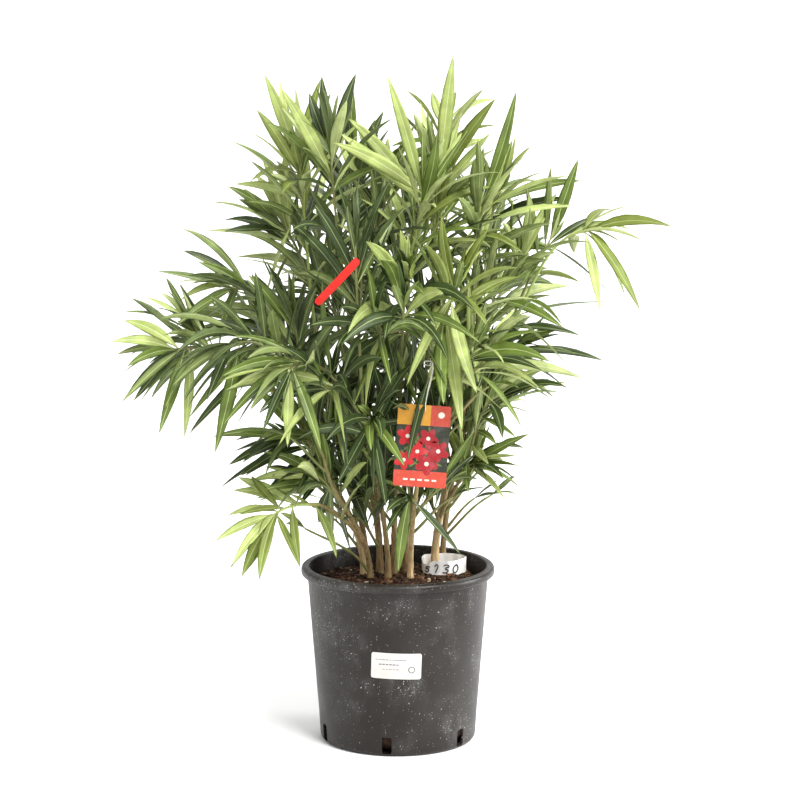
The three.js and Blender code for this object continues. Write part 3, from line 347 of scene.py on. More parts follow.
# Single leaves of that kind: the mass, and where on its stem they start.
LOOSE_LEAVES: list[tuple[str, EdgeLeaf]] = [
    ("shoot_front_light", EdgeLeaf(0.3, (13, -132, 431), 12, 0.85)),
]

# An outline leaf that has no room tries again with its tip moved forwards or back by these.
EDGE_SHIFTS = (0, 12, -12, 24, -24, 40, -40)
AXIS_KEY = 31  # sets the leaves of a side twig apart from those of its shoot
EDGE_SEED = 500  # and this, the leaves of the outline


@dataclass(frozen=True)
class PotSize:
    """The sizes of the pot that other pieces are fitted to."""

    height: float = 256
    rim_radius: float = 140
    rim_height: float = 13
    neck_radius: float = 131
    foot_radius: float = 112.5
    foot_rounding: float = 9
    wall: float = 3
    soil: float = 234

    def wall_radius(self, height: float) -> float:
        """The outer radius of the wall at a height."""
        share = (height - self.foot_rounding) / (self.height - self.rim_height - self.foot_rounding)
        return self.foot_radius + share * (self.neck_radius - self.foot_radius)


POT = PotSize()


@dataclass(frozen=True)
class LeafRule:
    """How leaves are shaped and set. Angles are in degrees, and ages count whorls from the tip."""

    length: float = 150
    width: float = 25
    thickness: float = 2
    widest: float = 0.45
    sink: float = 0.4
    sunk: float = 1
    guard: float = 0.5
    guard_from: float = 0.14
    whorl: int = 3
    inset: float = 3
    step: float = 20
    widening: float = 7
    even_from: int = 3
    on_twig: float = 0.8
    rolls: tuple[float, ...] = (0, 24, -24, 45)
    closer: float = 5
    opened: float = 64
    folded: float = 50
    opens_over: float = 1.7
    short: float = 0.38
    grows_over: float = 0.8
    narrow: float = 0.55
    sag_young: float = 0.1
    sag_more: float = 0.035
    sag_until: int = 5


@dataclass(frozen=True)
class Variety:
    """How far leaves differ from each other."""

    roll: float = 14
    opened: float = 9
    twist: float = 32
    length: float = 0.14
    width: float = 0.12
    sag: float = 0.5
    tone: float = 1.25
    darker: float = 0.2  # how much darker a leaf gets with each whorl


@dataclass(frozen=True)
class TwigRule:
    """How stems and side twigs run. Most sizes of a side twig are shares of its shoot."""

    handle: float = 0.36
    radius: float = 2.6
    tip_radius: float = 1.5
    at: float = 0.42
    at_step: float = 0.16
    at_variety: float = 0.05
    reach: float = 0.42
    reach_variety: float = 0.08
    ahead: float = 0.78
    aside: float = 0.6
    lift: float = 0.4
    lowest: float = 60
    girth: float = 0.8
    clear_from: float = 0.15
    room: float = 0.6


@dataclass(frozen=True)
class YoungRule:
    """The smaller leaves and finer twigs that the faceted solids leave out."""

    count: int = 2
    back: float = 9
    older: float = 0.9
    size: float = 0.8
    variety: float = 0.18
    least: float = 0.5
    further: float = 0.2
    twigs_at: tuple[float, ...] = (0.28, 0.66)
    proud: float = 6
    turn: float = 40
    seed: int = 200
    tuft: int = 2
    tuft_size: float = 0.46
    tuft_seed: int = 400


@dataclass(frozen=True)
class SlimRule:
    """How slim, rolled and arched the finished leaves are beside the faceted ones."""

    edge: float = 0.88
    grown: float = 0.8
    young: float = 0.62
    roll: float = 38
    twist: float = 55
    arch: float = 0.09
    arch_least: float = 0.4
    length: float = 0.1
    loose: float = 0.8


@dataclass(frozen=True)
class SprayRule:
    """The short leafy twigs inside the crown: where they leave a limb, and how far they may reach."""

    first: int = 40
    most: int = 200
    shares: tuple[float, ...] = (0.1, 0.22, 0.34, 0.48, 0.62, 0.76, 0.9)
    spread: float = 0.06
    outwards: float = 0.008
    length: float = 74
    variety: float = 24
    lift: float = 0.9
    heading: float = 0.5
    droop: float = 1.2
    lowest: float = 262
    # The sprays inside the crown take the dark tone, partly as painted shade.
    tone: Tone = Tone.DARK
    floor: float = 262
    front: float = -112
    back_from: float = 40
    right: float = 0.78  # the crown is thinner on its right
    middle: float = 20
    reach_heights: tuple[float, ...] = (280, 360, 450, 560, 700)
    reach: tuple[float, ...] = (76, 116, 175, 225, 240)


@dataclass(frozen=True)
class Sight:
    """A label that hangs in plain sight, known by the two corners of its box in metres."""

    low: Vector
    high: Vector
    margin: float = 3
    slope: float = 0.18  # how fast the line of sight rises towards the viewer

    def is_hidden_by(self, *places: Vector) -> bool:
        """Whether a leaf hides the label.

        Args:
            places: Places on the leaf, in millimetres.

        Returns:
            True where one of them is in front of the label.
        """
        low, high = self.low / MM, self.high / MM
        for place in places:
            nearer = high.y - place.y
            height = place.z - nearer * self.slope
            beside = low.x - self.margin < place.x < high.x + self.margin
            if nearer > 0 and beside and low.z - self.margin < height < high.z + self.margin:
                return True
        return False


LEAF = LeafRule()
VARIETY = Variety()
TWIG = TwigRule()
YOUNG = YoungRule()
SLIM = SlimRule()
SPRAY = SprayRule()


def chance(*keys: int) -> float:
    """A value from 0 to 1 that looks random, and is always the same for the same three whole numbers."""
    wave = sin(sum(key * weight for key, weight in zip(keys, (12.9898, 78.233, 37.719)))) * 43758.5453
    return wave - floor(wave)


def jitter(size: float, *keys: int) -> float:
    """The same value as chance, from -size to size."""
    return size * (2 * chance(*keys) - 1)


class Path:
    """A smooth path that leaves its start one way and comes to its end another way."""

    SAMPLES = np.linspace(0, 1, 201)
    NEARBY = np.array((-1e-3, 1e-3))

    def __init__(self, start: Vector, start_way: Vector, end: Vector, end_way: Vector) -> None:
        """Lays out the path.

        Args:
            start: Its first point.
            start_way: The unit direction that it leaves in.
            end: Its last point.
            end_way: The unit direction that it arrives in.
        """
        pull = TWIG.handle * (end - start).length
        self.handles = np.array([start, start + start_way * pull, end - end_way * pull, end], float)
        steps = np.linalg.norm(np.diff(self._points(self.SAMPLES), axis=0), axis=1)
        self._lengths = np.concatenate([[0.0], np.cumsum(steps)])
        self.length = float(self._lengths[-1])

    def _points(self, shares: np.ndarray) -> np.ndarray:
        """Points on the curve, at shares of its own parameter."""
        t, (a, b, c, d) = np.asarray(shares, float)[..., None], self.handles
        return a * (1 - t) ** 3 + 3 * b * t * (1 - t) ** 2 + 3 * c * t * t * (1 - t) + d * t**3

    def _parameter(self, share: float) -> float:
        """The curve's own parameter at a share of the length."""
        return float(np.interp(share * self.length, self._lengths, self.SAMPLES))

    def at(self, share: float) -> Vector:
        """The point at a share of the length."""
        return Vector(self._points(np.array(self._parameter(share))))

    def way(self, share: float) -> Vector:
        """The unit direction at a share of the length."""
        near, far = self._points(np.clip(self._parameter(share) + self.NEARBY, 0, 1))
        return Vector(far - near).normalized()

    def faceted(self, share: float, steps: int = 5) -> Vector:
        """The point at a share of the length, on the straight stretches that the CAD's stem has."""
        first = min(int(share * steps), steps - 1)
        return self.at(first / steps).lerp(self.at((first + 1) / steps), share * steps - first)


@dataclass(frozen=True)
class WhorlPlace:
    """Where the leaves of a whorl grow: its place, the ways along and across its twig, and its age."""

    place: Vector
    along: Vector
    across: Vector
    age: float


@dataclass
class Limb:
    """A tapering round limb: its path, and its radius at a share of its length."""

    path: Path
    radius_at: Radius

    def whorls(self, leafy: float) -> list[WhorlPlace]:
        """Where its whorls sit: close together at the tip, wider apart down to bare wood.

        Args:
            leafy: The share of its length that bears leaves.

        Returns:
            The places, from the tip down.
        """
        places: list[WhorlPlace] = []
        across = Vector((1, 0, 0))
        back, age = LEAF.inset, 0
        while back < self.path.length * leafy:
            share = 1 - back / self.path.length
            along = self.path.way(share)
            across = (across - along * across.dot(along)).normalized()
            places.append(WhorlPlace(self.path.at(share), along, across.copy(), age))
            back += LEAF.step + LEAF.widening * min(age, LEAF.even_from)
            age += 1
        return places


def tapering(girth: float, loss: float) -> Radius:
    """A radius that shrinks evenly from girth, by the given share of it at the end."""
    return lambda share: girth * (1 - loss * share)


STEM_TAPER = tapering(TWIG.radius, 1 - TWIG.tip_radius / TWIG.radius)


def heading_way(start: Vector, tip: Vector, heading: float) -> Vector:
    """The way a limb points at its tip: outwards on the level, and up by heading degrees."""
    level = Vector((tip.x - start.x, tip.y - start.y, 0)).normalized()
    return level * cos(radians(heading)) + UP * sin(radians(heading))


def cane_limb(cane: Cane) -> Limb:
    """A cane's limb, which tapers from a flared foot to its top.

    Args:
        cane: Its row.

    Returns:
        The limb.
    """
    start, end = Vector((*cane.foot, POT.soil)), Vector(cane.top)
    lean = ((end - start).normalized() + UP).normalized()

    def radius_at(share: float) -> float:
        """The radius at a share of the length."""
        flare = cane.FLARE * exp(-share / cane.FLARE_SHARE)
        return cane.girth * (1 - cane.LOSS * share) * (1 + flare)

    return Limb(Path(start, UP, end, lean), radius_at)


def branch_limb(parent: Limb, row: Bough | Shoot, radius_at: Radius) -> Limb:
    """A limb that grows from another one.

    Args:
        parent: The limb that it leaves.
        row: Where it leaves, its tip and its heading there.
        radius_at: Its radius at a share of its length.

    Returns:
        The limb.
    """
    start, end = parent.path.at(row.along), Vector(row.tip)
    start_way = (parent.path.way(row.along) + (end - start).normalized()).normalized()
    return Limb(Path(start, start_way, end, heading_way(start, end, row.heading)), radius_at)


@dataclass(frozen=True)
class Hull:
    """A plain form, in millimetres, that stands for the room that something takes."""

    corners: Sequence[Vector]
    faces: Sequence[Sequence[int]]

    def tree(self) -> BVHTree:
        """Its faces, ready to be tried against others."""
        return BVHTree.FromPolygons([tuple(corner) for corner in self.corners], self.faces)

    def box(self) -> tuple[np.ndarray, np.ndarray]:
        """The two corners of its box."""
        points = np.array([tuple(corner) for corner in self.corners])
        return points.min(0), points.max(0)


def tube_hull(path: Path, radius: float, steps: int = 6) -> Hull:
    """A three-sided hull round a path.

    Args:
        path: The path.
        radius: The radius of the hull.
        steps: How many stretches it has.

    Returns:
        The hull.
    """
    corners: list[Vector] = []
    for k in range(steps + 1):
        way = path.way(k / steps)
        across = way.orthogonal().normalized() * radius
        turns = (Quaternion(way, 2 * pi * side / 3) for side in range(3))
        corners += [path.at(k / steps) + turn @ across for turn in turns]
    walls = [(3 * k + side, 3 * k + (side + 1) % 3) for k in range(steps) for side in range(3)]
    return Hull(corners, [[low, high, high + 3, low + 3] for low, high in walls])


@dataclass(frozen=True)
class Leaf:
    """One leaf: root, first direction, side, sizes, sag, tone, its own number and that of its mass."""

    root: Vector
    way: Vector
    side: Vector
    length: float
    width: float
    sag: float
    tone: Tone
    seed: int
    owner: int
    roll: float = 0
    twist: float = 12
    arch: float = 0

    def centre(self, share: float) -> Vector:
        """The point on its rib at a share of its length."""
        sag = self.length * self.sag * share * share
        return self.root + self.way * (self.length * share) + DOWN * sag

    def ring(self, share: float, half: float) -> list[Vector]:
        """A section of the room that it takes.

        Args:
            share: A share of its length.
            half: Half the width of the section.

        Returns:
            Its edge, its keel and its other edge.
        """
        ahead = (self.way + DOWN * (2 * self.sag * share)).normalized()
        upper = self.side.cross(ahead).normalized()
        middle = self.centre(share)
        return [middle + self.side * half, middle - upper * LEAF.thickness, middle - self.side * half]

    def hulls(self) -> tuple[Hull, Hull]:
        """The room that it takes.

        Returns:
            The room that it keeps to itself, clear of its twig, and the room round its root, which its own
            mass may share.
        """
        first = self.ring(LEAF.guard_from, LEAF.guard_from / LEAF.widest * self.width / 2 + LEAF.guard)
        widest = self.ring(LEAF.widest, self.width / 2 + LEAF.guard)
        walls = [[k, (k + 1) % 3, 3 + (k + 1) % 3, 3 + k] for k in range(3)]
        point = [[3 + k, 3 + (k + 1) % 3, 6] for k in range(3)]
        own = Hull([*first, *widest, self.centre(1)], walls + point)
        return own, Hull([*first, self.root], [[k, (k + 1) % 3, 3] for k in range(3)])


class Space:
    """The room that is taken. The roots of one mass may join each other."""

    MOST = 20000  # more hulls than the plant ever takes

    def __init__(self) -> None:
        """Starts with nothing taken."""
        self._trees: list[BVHTree] = []
        self._owners: list[tuple[int, bool]] = []
        self._low = np.full((self.MOST, 3), np.inf)
        self._high = np.full((self.MOST, 3), -np.inf)

    def take(self, hull: Hull, owner: int = -1, is_root: bool = False) -> None:
        """Keeps the room of a hull.

        Args:
            hull: The hull.
            owner: The number of its mass, or -1.
            is_root: Whether its own mass may share it.
        """
        count = len(self._trees)
        self._low[count], self._high[count] = hull.box()
        self._trees.append(hull.tree())
        self._owners.append((owner, is_root))

    def take_node(self, name: str) -> None:
        """Keeps the room of a CAD node.

        Args:
            name: The name of the node.
        """
        mesh = frame["nodes"][name].data
        faces = [list(face.vertices) for face in mesh.polygons]
        self.take(Hull([corner.co / MM for corner in mesh.vertices], faces))

    def is_free(self, hull: Hull, owner: int, is_root: bool = False) -> bool:
        """Whether a hull meets nothing.

        Args:
            hull: The hull.
            owner: The number of the mass that wants its room.
            is_root: Whether its own mass may share it.

        Returns:
            True where its room is free.
        """
        low, high = hull.box()
        count = len(self._trees)
        near = (self._low[:count] <= high).all(1) & (self._high[:count] >= low).all(1)
        tree = None
        for k in np.flatnonzero(near):
            other, is_shared = self._owners[k]
            if other == owner and (is_root or is_shared):
                continue
            tree = tree or hull.tree()
            if tree.overlap(self._trees[k]):
                return False
        return True


@dataclass
class Mass:
    """A mass of foliage as it grows: its number, its row, its stem and side twigs, and its leaves."""

    name: str
    number: int
    shoot: Shoot
    axes: list[Limb]
    leaves: list[Leaf] = field(default_factory=list)

    REGIONS = {
        "top": Region.TOP, "right": Region.RIGHT, "back": Region.BACK,
        "left": Region.LEFT, "far": Region.LEFT, "low": Region.LEFT,
    }

    @property
    def region(self) -> Region:
        """The part of the crown that it belongs to, which the second word of its name tells."""
        return self.REGIONS.get(self.name.split("_")[1], Region.FRONT)

    def tone(self, age: float, seed: int) -> Tone:
        """The tone of a leaf: the shoot's own, darker with age, and a little different each time."""
        aged = self.shoot.tone.value + 0.5 - VARIETY.darker * max(age - 1, 0)
        return Tone(int(min(max(aged + jitter(VARIETY.tone, self.number, seed, 7), 0), 3)))

    def edge_leaf(self, index: int, row: EdgeLeaf, shift: float) -> Leaf:
        """One of the leaves that give the crown its outline.

        Args:
            index: Its number among them.
            row: Its row.
            shift: How far its tip is moved forwards.

        Returns:
            The leaf.
        """
        start = self.axes[0].path.faceted(row.at)
        way = Vector(row.tip) - start + UP * row.arch + FRONT * shift
        length = way.length
        way.normalize()
        side = way.cross(UP * (1 - row.face) + FRONT * row.face).normalized()
        width = LEAF.width * min(1, LEAF.narrow + (1 - LEAF.narrow) * length / LEAF.length) * SLIM.edge
        seed = EDGE_SEED + index
        root = start - way * LEAF.sink
        sag = row.arch / length
        return Leaf(root, way, side, length, width, sag, self.tone(0.5, seed), seed, self.number)

    def leaf_at(self, spot: WhorlPlace, seed: int, turn: float, attempt: int, size: float) -> Leaf:
        """The leaf that grows at a whorl: old leaves are long, open and drooping.

        Args:
            spot: Where its whorl sits.
            seed: A number of its own in the self.
            turn: The way that it stands round the twig, in degrees.
            attempt: How often it has been tried already.
            size: Its length as a share of a grown leaf's.

        Returns:
            The leaf.
        """
        keys = (self.number, seed)
        roll = turn + jitter(VARIETY.roll, *keys, 1) + LEAF.rolls[attempt]
        outwards = Quaternion(spot.along, radians(roll)) @ spot.across
        opened = LEAF.opened - LEAF.folded * exp(-spot.age / LEAF.opens_over)
        opened = radians(opened + jitter(VARIETY.opened, *keys, 2) - attempt * LEAF.closer)
        way = spot.along * cos(opened) + outwards * sin(opened)
        twist = Quaternion(way, radians(jitter(VARIETY.twist, *keys, 3)))
        side = twist @ outwards.cross(spot.along).normalized()
        growth = 1 - LEAF.short * exp(-spot.age / LEAF.grows_over)
        variety = 1 + jitter(VARIETY.length, *keys, 4) + jitter(SLIM.length, *keys, 34)
        fullness = LEAF.narrow + (1 - LEAF.narrow) * growth * size
        slim = SLIM.grown if size == 1 else SLIM.young
        width = LEAF.width * fullness * (1 + jitter(VARIETY.width, *keys, 5)) * slim
        weight = LEAF.sag_young + LEAF.sag_more * min(spot.age, LEAF.sag_until)
        level = hypot(way.x, way.y)
        return Leaf(
            root=spot.place - outwards * LEAF.sink - spot.along * LEAF.sunk, way=way, side=side,
            length=LEAF.length * growth * size * variety, width=width,
            sag=level * self.shoot.droop * weight * size * (1 + jitter(VARIETY.sag, *keys, 6)),
            tone=self.tone(spot.age, seed), seed=seed, owner=self.number,
            roll=jitter(SLIM.roll, *keys, 31), twist=jitter(SLIM.twist, *keys, 32),
            arch=level * SLIM.arch * (SLIM.arch_least + chance(*keys, 33)),
        )


class Grower:
    """Grows the plant from the tables: limbs, stems, side twigs and leaves, each in its own room."""

    OTHERS = ("pot", "compost", "pot_sticker", "paper_band", "hang_card", "card_loop", "red_tie")
    SEEN_AT = (0.35, 0.6, 0.85, 1)  # shares of a leaf's length that may not hide a label

    def __init__(self) -> None:
        """Lays out the limbs and stems, and keeps their room."""
        self.limbs: dict[str, Limb] = {name: cane_limb(cane) for name, cane in CANES.items()}
        for name, bough in BOUGHS.items():
            self.limbs[name] = branch_limb(self.limbs[bough.parent], bough, tapering(bough.girth, bough.LOSS))
        self.space = Space()
        for name in (*self.limbs, *self.OTHERS):
            self.space.take_node(name)
        self.masses: list[Mass] = []
        margin = Vector((1, 1, 1)) * YOUNG.proud
        self.boxes = {name: (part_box(name)[0] / MM - margin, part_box(name)[1] / MM + margin) for name in SHOOTS}
        self.sights = [Sight(*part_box(name)) for name in ("hang_card", "red_tie")]
        for number, (name, shoot) in enumerate(SHOOTS.items()):
            self._start_mass(name, number, shoot, TWIG.radius + TWIG.room)

    def _start_mass(self, name: str, number: int, shoot: Shoot, radius: float) -> Mass:
        """Starts a mass with its stem.

        Args:
            name: The name of the mass.
            number: Its number.
            shoot: Its row.
            radius: The radius of the room that its stem takes.

        Returns:
            The mass.
        """
        stem = branch_limb(self.limbs[shoot.parent], shoot, STEM_TAPER)
        self.masses.append(Mass(name, number, shoot, [stem]))
        self.space.take(tube_hull(stem.path, radius), number)
        return self.masses[-1]

    def mass(self, name: str) -> Mass:
        """The mass that has a name."""
        return next(mass for mass in self.masses if mass.name == name)

    def grow(self) -> None:
        """Grows side twigs, the outline's leaves and the whorls, then the finer growth between them."""
        for mass in self.masses:
            for index in range(mass.shoot.twigs):
                self._grow_twig(mass, index, TWIG.at + TWIG.at_step * index)
        for mass in self.masses:
            for index, row in enumerate(EDGE_LEAVES.get(mass.name, [])):
                any(self._fit(mass, mass.edge_leaf(index, row, shift)) for shift in EDGE_SHIFTS)
        for mass in self.masses:
            for number, axis in enumerate(mass.axes):
                self._grow_whorls(mass, number, axis)
        grown = len(self.masses)
        self._grow_sprigs()
        self._grow_sprays()
        for mass in self.masses[:grown]:
            self._grow_finer_twigs(mass)
        for mass in self.masses:
            for number, axis in enumerate(mass.axes):
                self._grow_young(mass, number, axis)

    def _grow_finer_twigs(self, mass: Mass) -> None:
        """Twigs that the solids leave out, on the masses in the middle of the crown.

        Args:
            mass: The mass.
        """
        inner = mass.region in (Region.FRONT, Region.BACK) and "right" not in mass.name
        for step, at in enumerate(YOUNG.twigs_at if inner else ()):
            before = len(mass.axes)
            self._grow_twig(mass, mass.shoot.twigs + step, at)
            for axis in mass.axes[before:]:
                self._grow_whorls(mass, before, axis)

    def _grow_sprigs(self) -> None:
        """The thin sprigs and the single leaves that have no solid of their own."""
        for name, row in LOOSE_LEAVES:
            mass = self.mass(name)
            leaf = mass.edge_leaf(len(EDGE_LEAVES.get(name, [])), row, 0)
            mass.leaves.append(replace(leaf, tone=Tone.DARK, width=leaf.width * SLIM.loose))
        for index, row in enumerate(SPRIGS):
            mass = self._start_mass("spray_front", SPRAY.first + SPRAY.most + index, row, TWIG.radius)
            self._grow_whorls(mass, 0, mass.axes[0])

    def _grow_sprays(self) -> None:
        """Short leafy twigs along the canes and boughs, which fill the inside of the crown."""
        for index, (name, limb) in enumerate(self.limbs.items()):
            for step, share in enumerate(SPRAY.shares):
                number = SPRAY.first + index * len(SPRAY.shares) + step
                share += jitter(SPRAY.spread, number, 1)
                start, along = limb.path.at(share), limb.path.way(share)
                turn = 2 * pi * chance(number, 2)
                level = Vector((cos(turn), sin(turn), 0))
                level = (level + Vector((start.x, start.y, 0)) * SPRAY.outwards).normalized()
                length = SPRAY.length + jitter(SPRAY.variety, number, 3)
                end = start + (level + UP * SPRAY.lift).normalized() * length
                start_way, end_way = along + level, level + UP * SPRAY.heading
                path = Path(start, start_way.normalized(), end, end_way.normalized())
                if start.z < SPRAY.lowest or not self._takes_room(path, number):
                    continue
                row = Shoot(
                    name, share, tuple(end), 0, 360 * chance(number, 4), 0, SPRAY.droop, 1, SPRAY.tone,
                )
                side = "front" if start.y < SPRAY.back_from else "back"
                self.masses.append(Mass(f"spray_{side}", number, row, [Limb(path, STEM_TAPER)]))
                self._grow_whorls(self.masses[-1], 0, self.masses[-1].axes[0])

    def _takes_room(self, path: Path, number: int) -> bool:
        """Takes the room of a twig, clear of its foot, where it is free.

        Args:
            path: The path of the twig.
            number: The number of its mass.

        Returns:
            Whether the room was free.
        """
        tail = Path(path.at(TWIG.clear_from), path.way(TWIG.clear_from), path.at(1), path.way(1))
        is_free = self.space.is_free(tube_hull(tail, TWIG.radius), number)
        if is_free:
            self.space.take(tube_hull(tail, TWIG.radius + TWIG.room / 2), number)
        return is_free

    def _suits(self, mass: Mass, leaf: Leaf) -> bool:
        """Whether a leaf stays in the reach of the solids and leaves the labels in sight.

        Args:
            mass: The mass that it belongs to.
            leaf: The leaf.

        Returns:
            True where it may grow.
        """
        tip = leaf.centre(1)
        places = [leaf.centre(share) for share in self.SEEN_AT]
        if any(label.is_hidden_by(*places) for label in self.sights):
            return False
        if mass.number < SPRAY.first:
            low, high = self.boxes[mass.name]
            return all(low[k] <= tip[k] <= high[k] for k in range(3))
        reach = float(np.interp(tip.z, SPRAY.reach_heights, SPRAY.reach)) * (SPRAY.right if tip.x > 0 else 1)
        return tip.z > SPRAY.floor and hypot(tip.x, tip.y - SPRAY.middle) < reach and tip.y > SPRAY.front

    def _fit(self, mass: Mass, leaf: Leaf) -> bool:
        """Adds a leaf to a mass where there is room for it.

        Args:
            mass: The mass.
            leaf: The leaf.

        Returns:
            Whether there was room.
        """
        own, root = leaf.hulls()
        if not self.space.is_free(own, mass.number) or not self.space.is_free(root, mass.number, True):
            return False
        self.space.take(own, mass.number)
        self.space.take(root, mass.number, True)
        mass.leaves.append(leaf)
        return True

    def _grow_twig(self, mass: Mass, index: int, at: float) -> None:
        """A side twig leaves the shoot's own stem and turns back towards its way.

        Args:
            mass: The mass.
            index: Its number in the mass.
            at: The share of the stem's length where it leaves.
        """
        stem = mass.axes[0].path
        start = stem.faceted(at + jitter(TWIG.at_variety, mass.number, index, 11))
        along = stem.way(0.5)
        turn = Quaternion(along, 2 * pi * chance(mass.number, index, 12))
        across = turn @ UP.cross(along).normalized()
        length = stem.length * (TWIG.reach + jitter(TWIG.reach_variety, mass.number, index, 13))
        end = start + along * (length * TWIG.ahead) + across * (length * TWIG.aside)
        end.z = max(end.z, POT.soil + TWIG.lowest)
        path = Path(start, (along + across).normalized(), end, (along + UP * TWIG.lift).normalized())
        if self._takes_room(path, mass.number):
            thick = TWIG.radius * TWIG.girth
            mass.axes.append(Limb(path, tapering(thick, 1 - TWIG.tip_radius / thick)))

    def _try_leaf(self, mass: Mass, spot: WhorlPlace, seed: int, turn: float, size: float = 1) -> None:
        """Adds a leaf at a whorl, rolled round its twig until it suits and has room."""
        leaves = (mass.leaf_at(spot, seed, turn, attempt, size) for attempt in range(len(LEAF.rolls)))
        any(self._suits(mass, leaf) and self._fit(mass, leaf) for leaf in leaves)

    def _grow_whorls(self, mass: Mass, number: int, axis: Limb) -> None:
        """Leaves in whorls, each turned by half a step from the one before it.

        Args:
            mass: The mass.
            number: The number of the twig in the mass, or 0 for its stem.
            axis: The stem or twig.
        """
        leafy = LEAF.on_twig if number else mass.shoot.leafy
        for age, spot in enumerate(axis.whorls(leafy)):
            for k in range(LEAF.whorl):
                turn = mass.shoot.turn + 360 / LEAF.whorl * (k + (age % 2) / 2)
                self._try_leaf(mass, spot, number * AXIS_KEY + age * LEAF.whorl + k, turn)

    def _grow_young(self, mass: Mass, number: int, axis: Limb) -> None:
        """Shorter leaves between the whorls, and a tuft of the youngest at the tip, where they have room.

        Args:
            mass: The mass.
            number: The number of the twig in the mass, or 0 for its stem.
            axis: The stem or twig.
        """
        further = min(YOUNG.least, mass.shoot.leafy + YOUNG.further)
        leafy = max(LEAF.on_twig if number else mass.shoot.leafy, further)
        for age, spot in enumerate(axis.whorls(leafy)):
            place = spot.place - spot.along * YOUNG.back
            between = WhorlPlace(place, spot.along, spot.across, age + YOUNG.older)
            for k in range(YOUNG.count):
                turn = mass.shoot.turn + 360 / YOUNG.count * k + YOUNG.turn + 90 * (age % 2)
                seed = YOUNG.seed + number * AXIS_KEY + age * YOUNG.count + k
                size = YOUNG.size + jitter(YOUNG.variety, mass.number, seed, 8)
                self._try_leaf(mass, between, seed, turn, size)
        end = axis.path.way(1)
        tip = WhorlPlace(axis.path.at(1), end, end.orthogonal().normalized(), 0)
        for k in range(YOUNG.tuft):
            seed = YOUNG.tuft_seed + number * AXIS_KEY + k
            turn = 360 / YOUNG.tuft * k + YOUNG.turn / 2
            mass.leaves.append(mass.leaf_at(tip, seed, turn, 0, YOUNG.tuft_size))


# Making meshes. Every piece is made in metres, in its place.


def turned(degrees: float, axis: str) -> Matrix:
    """A turn about an axis of the scene."""
    return Matrix.Rotation(radians(degrees), 3, axis)


def linked(corners: Iterable[bmesh.types.BMVert], kind: str = "link_edges") -> list:
    """The edges that meet corners, or with link_faces the faces, each once and in order."""
    return list(dict.fromkeys(part for corner in corners for part in getattr(corner, kind)))


def smooth_by_angle(mesh: bpy.types.Mesh, degrees: float = 35) -> None:
    """Shades a mesh smooth, apart from edges sharper than an angle."""
    mesh.shade_smooth()
    mesh.set_sharp_from_angle(angle=radians(degrees))


def new_object(name: str, data: bpy.types.ID) -> Piece:
    """A new object of the scene, at the origin.

    Args:
        name: Its name.
        data: The mesh, the lamp or the like that it holds.

    Returns:
        The object.
    """
    held = bpy.data.objects.new(name, data)
    bpy.context.scene.collection.objects.link(held)
    return held


def as_mesh(name: str, made: Made, degrees: float = 180) -> Piece:
    """Turns a finished bmesh, in millimetres, into an object at the origin, in metres.

    Args:
        name: The name of the piece.
        made: The bmesh, which is freed.
        degrees: Edges sharper than this stay sharp.

    Returns:
        The object, linked into the scene.
    """
    bmesh.ops.scale(made, vec=(MM, MM, MM), verts=made.verts)
    mesh = bpy.data.meshes.new(name)
    made.to_mesh(mesh)
    made.free()
    mesh.shade_smooth()
    if degrees < 180:
        smooth_by_angle(mesh, degrees)
    return new_object(name, mesh)


def face_outwards(made: Made) -> None:
    """Turns the faces of closed forms outwards."""
    bmesh.ops.recalc_face_normals(made, faces=made.faces)


def close_up(made: Made, distance: float = 0.01) -> None:
    """Merges doubles and turns the faces outwards."""
    bmesh.ops.remove_doubles(made, verts=made.verts, dist=distance)
    face_outwards(made)


def add_ring(made: Made, centre: Vector, way: Vector, across: Vector, radii: Sequence[float]) -> list:
    """A ring of edges across a way.

    Args:
        made: The bmesh that it joins.
        centre: Its centre.
        way: The way that it faces.
        across: The direction of its first corner.
        radii: The radius at each of its corners.

    Returns:
        Its edges.
    """
    corners = bmesh.ops.create_circle(made, segments=len(radii), radius=1)["verts"]
    for k, corner in enumerate(corners):
        corner.co = centre + Quaternion(way, 2 * pi * k / len(corners)) @ across * radii[k]
    return linked(corners)


def add_tube(made: Made, limb: Limb, sides: int, steps: int, relief: Relief | None = None) -> None:
    """A closed round tube along a limb.

    Args:
        made: The bmesh that it joins.
        limb: The path and the radius.
        sides: Corners in a ring.
        steps: Stretches along it.
        relief: The height of its bark at a point and a share of its length.
    """
    rings = []
    across = limb.path.way(0).orthogonal().normalized()
    for k in range(steps + 1):
        share = k / steps
        way, centre = limb.path.way(share), limb.path.at(share)
        across = (across - way * across.dot(way)).normalized()
        radius = limb.radius_at(share)
        radii = [radius] * sides
        if relief:
            turns = (Quaternion(way, 2 * pi * side / sides) @ across for side in range(sides))
            radii = [radius + relief(centre + turn * radius, share) for turn in turns]
        rings.append(add_ring(made, centre, way, across, radii))
    for low, high in zip(rings, rings[1:]):
        bmesh.ops.bridge_loops(made, edges=low + high)
    for end in (rings[0], rings[-1]):
        bmesh.ops.contextual_create(made, geom=end)


def spin_profile(made: Made, outline: Sequence[Spot], steps: int) -> None:
    """Turns an outline into a closed round form.

    Args:
        made: The bmesh that it joins.
        outline: Radii and heights, in order.
        steps: Steps in a full turn.
    """
    corners = [made.verts.new((radius, 0, height)) for radius, height in outline]
    edges = [made.edges.new(pair) for pair in zip(corners, corners[1:])]
    bmesh.ops.spin(
        made, geom=corners + edges, cent=(0, 0, 0), axis=UP, dvec=(0, 0, 0), angle=2 * pi, steps=steps,
        use_merge=True,
    )
    close_up(made)


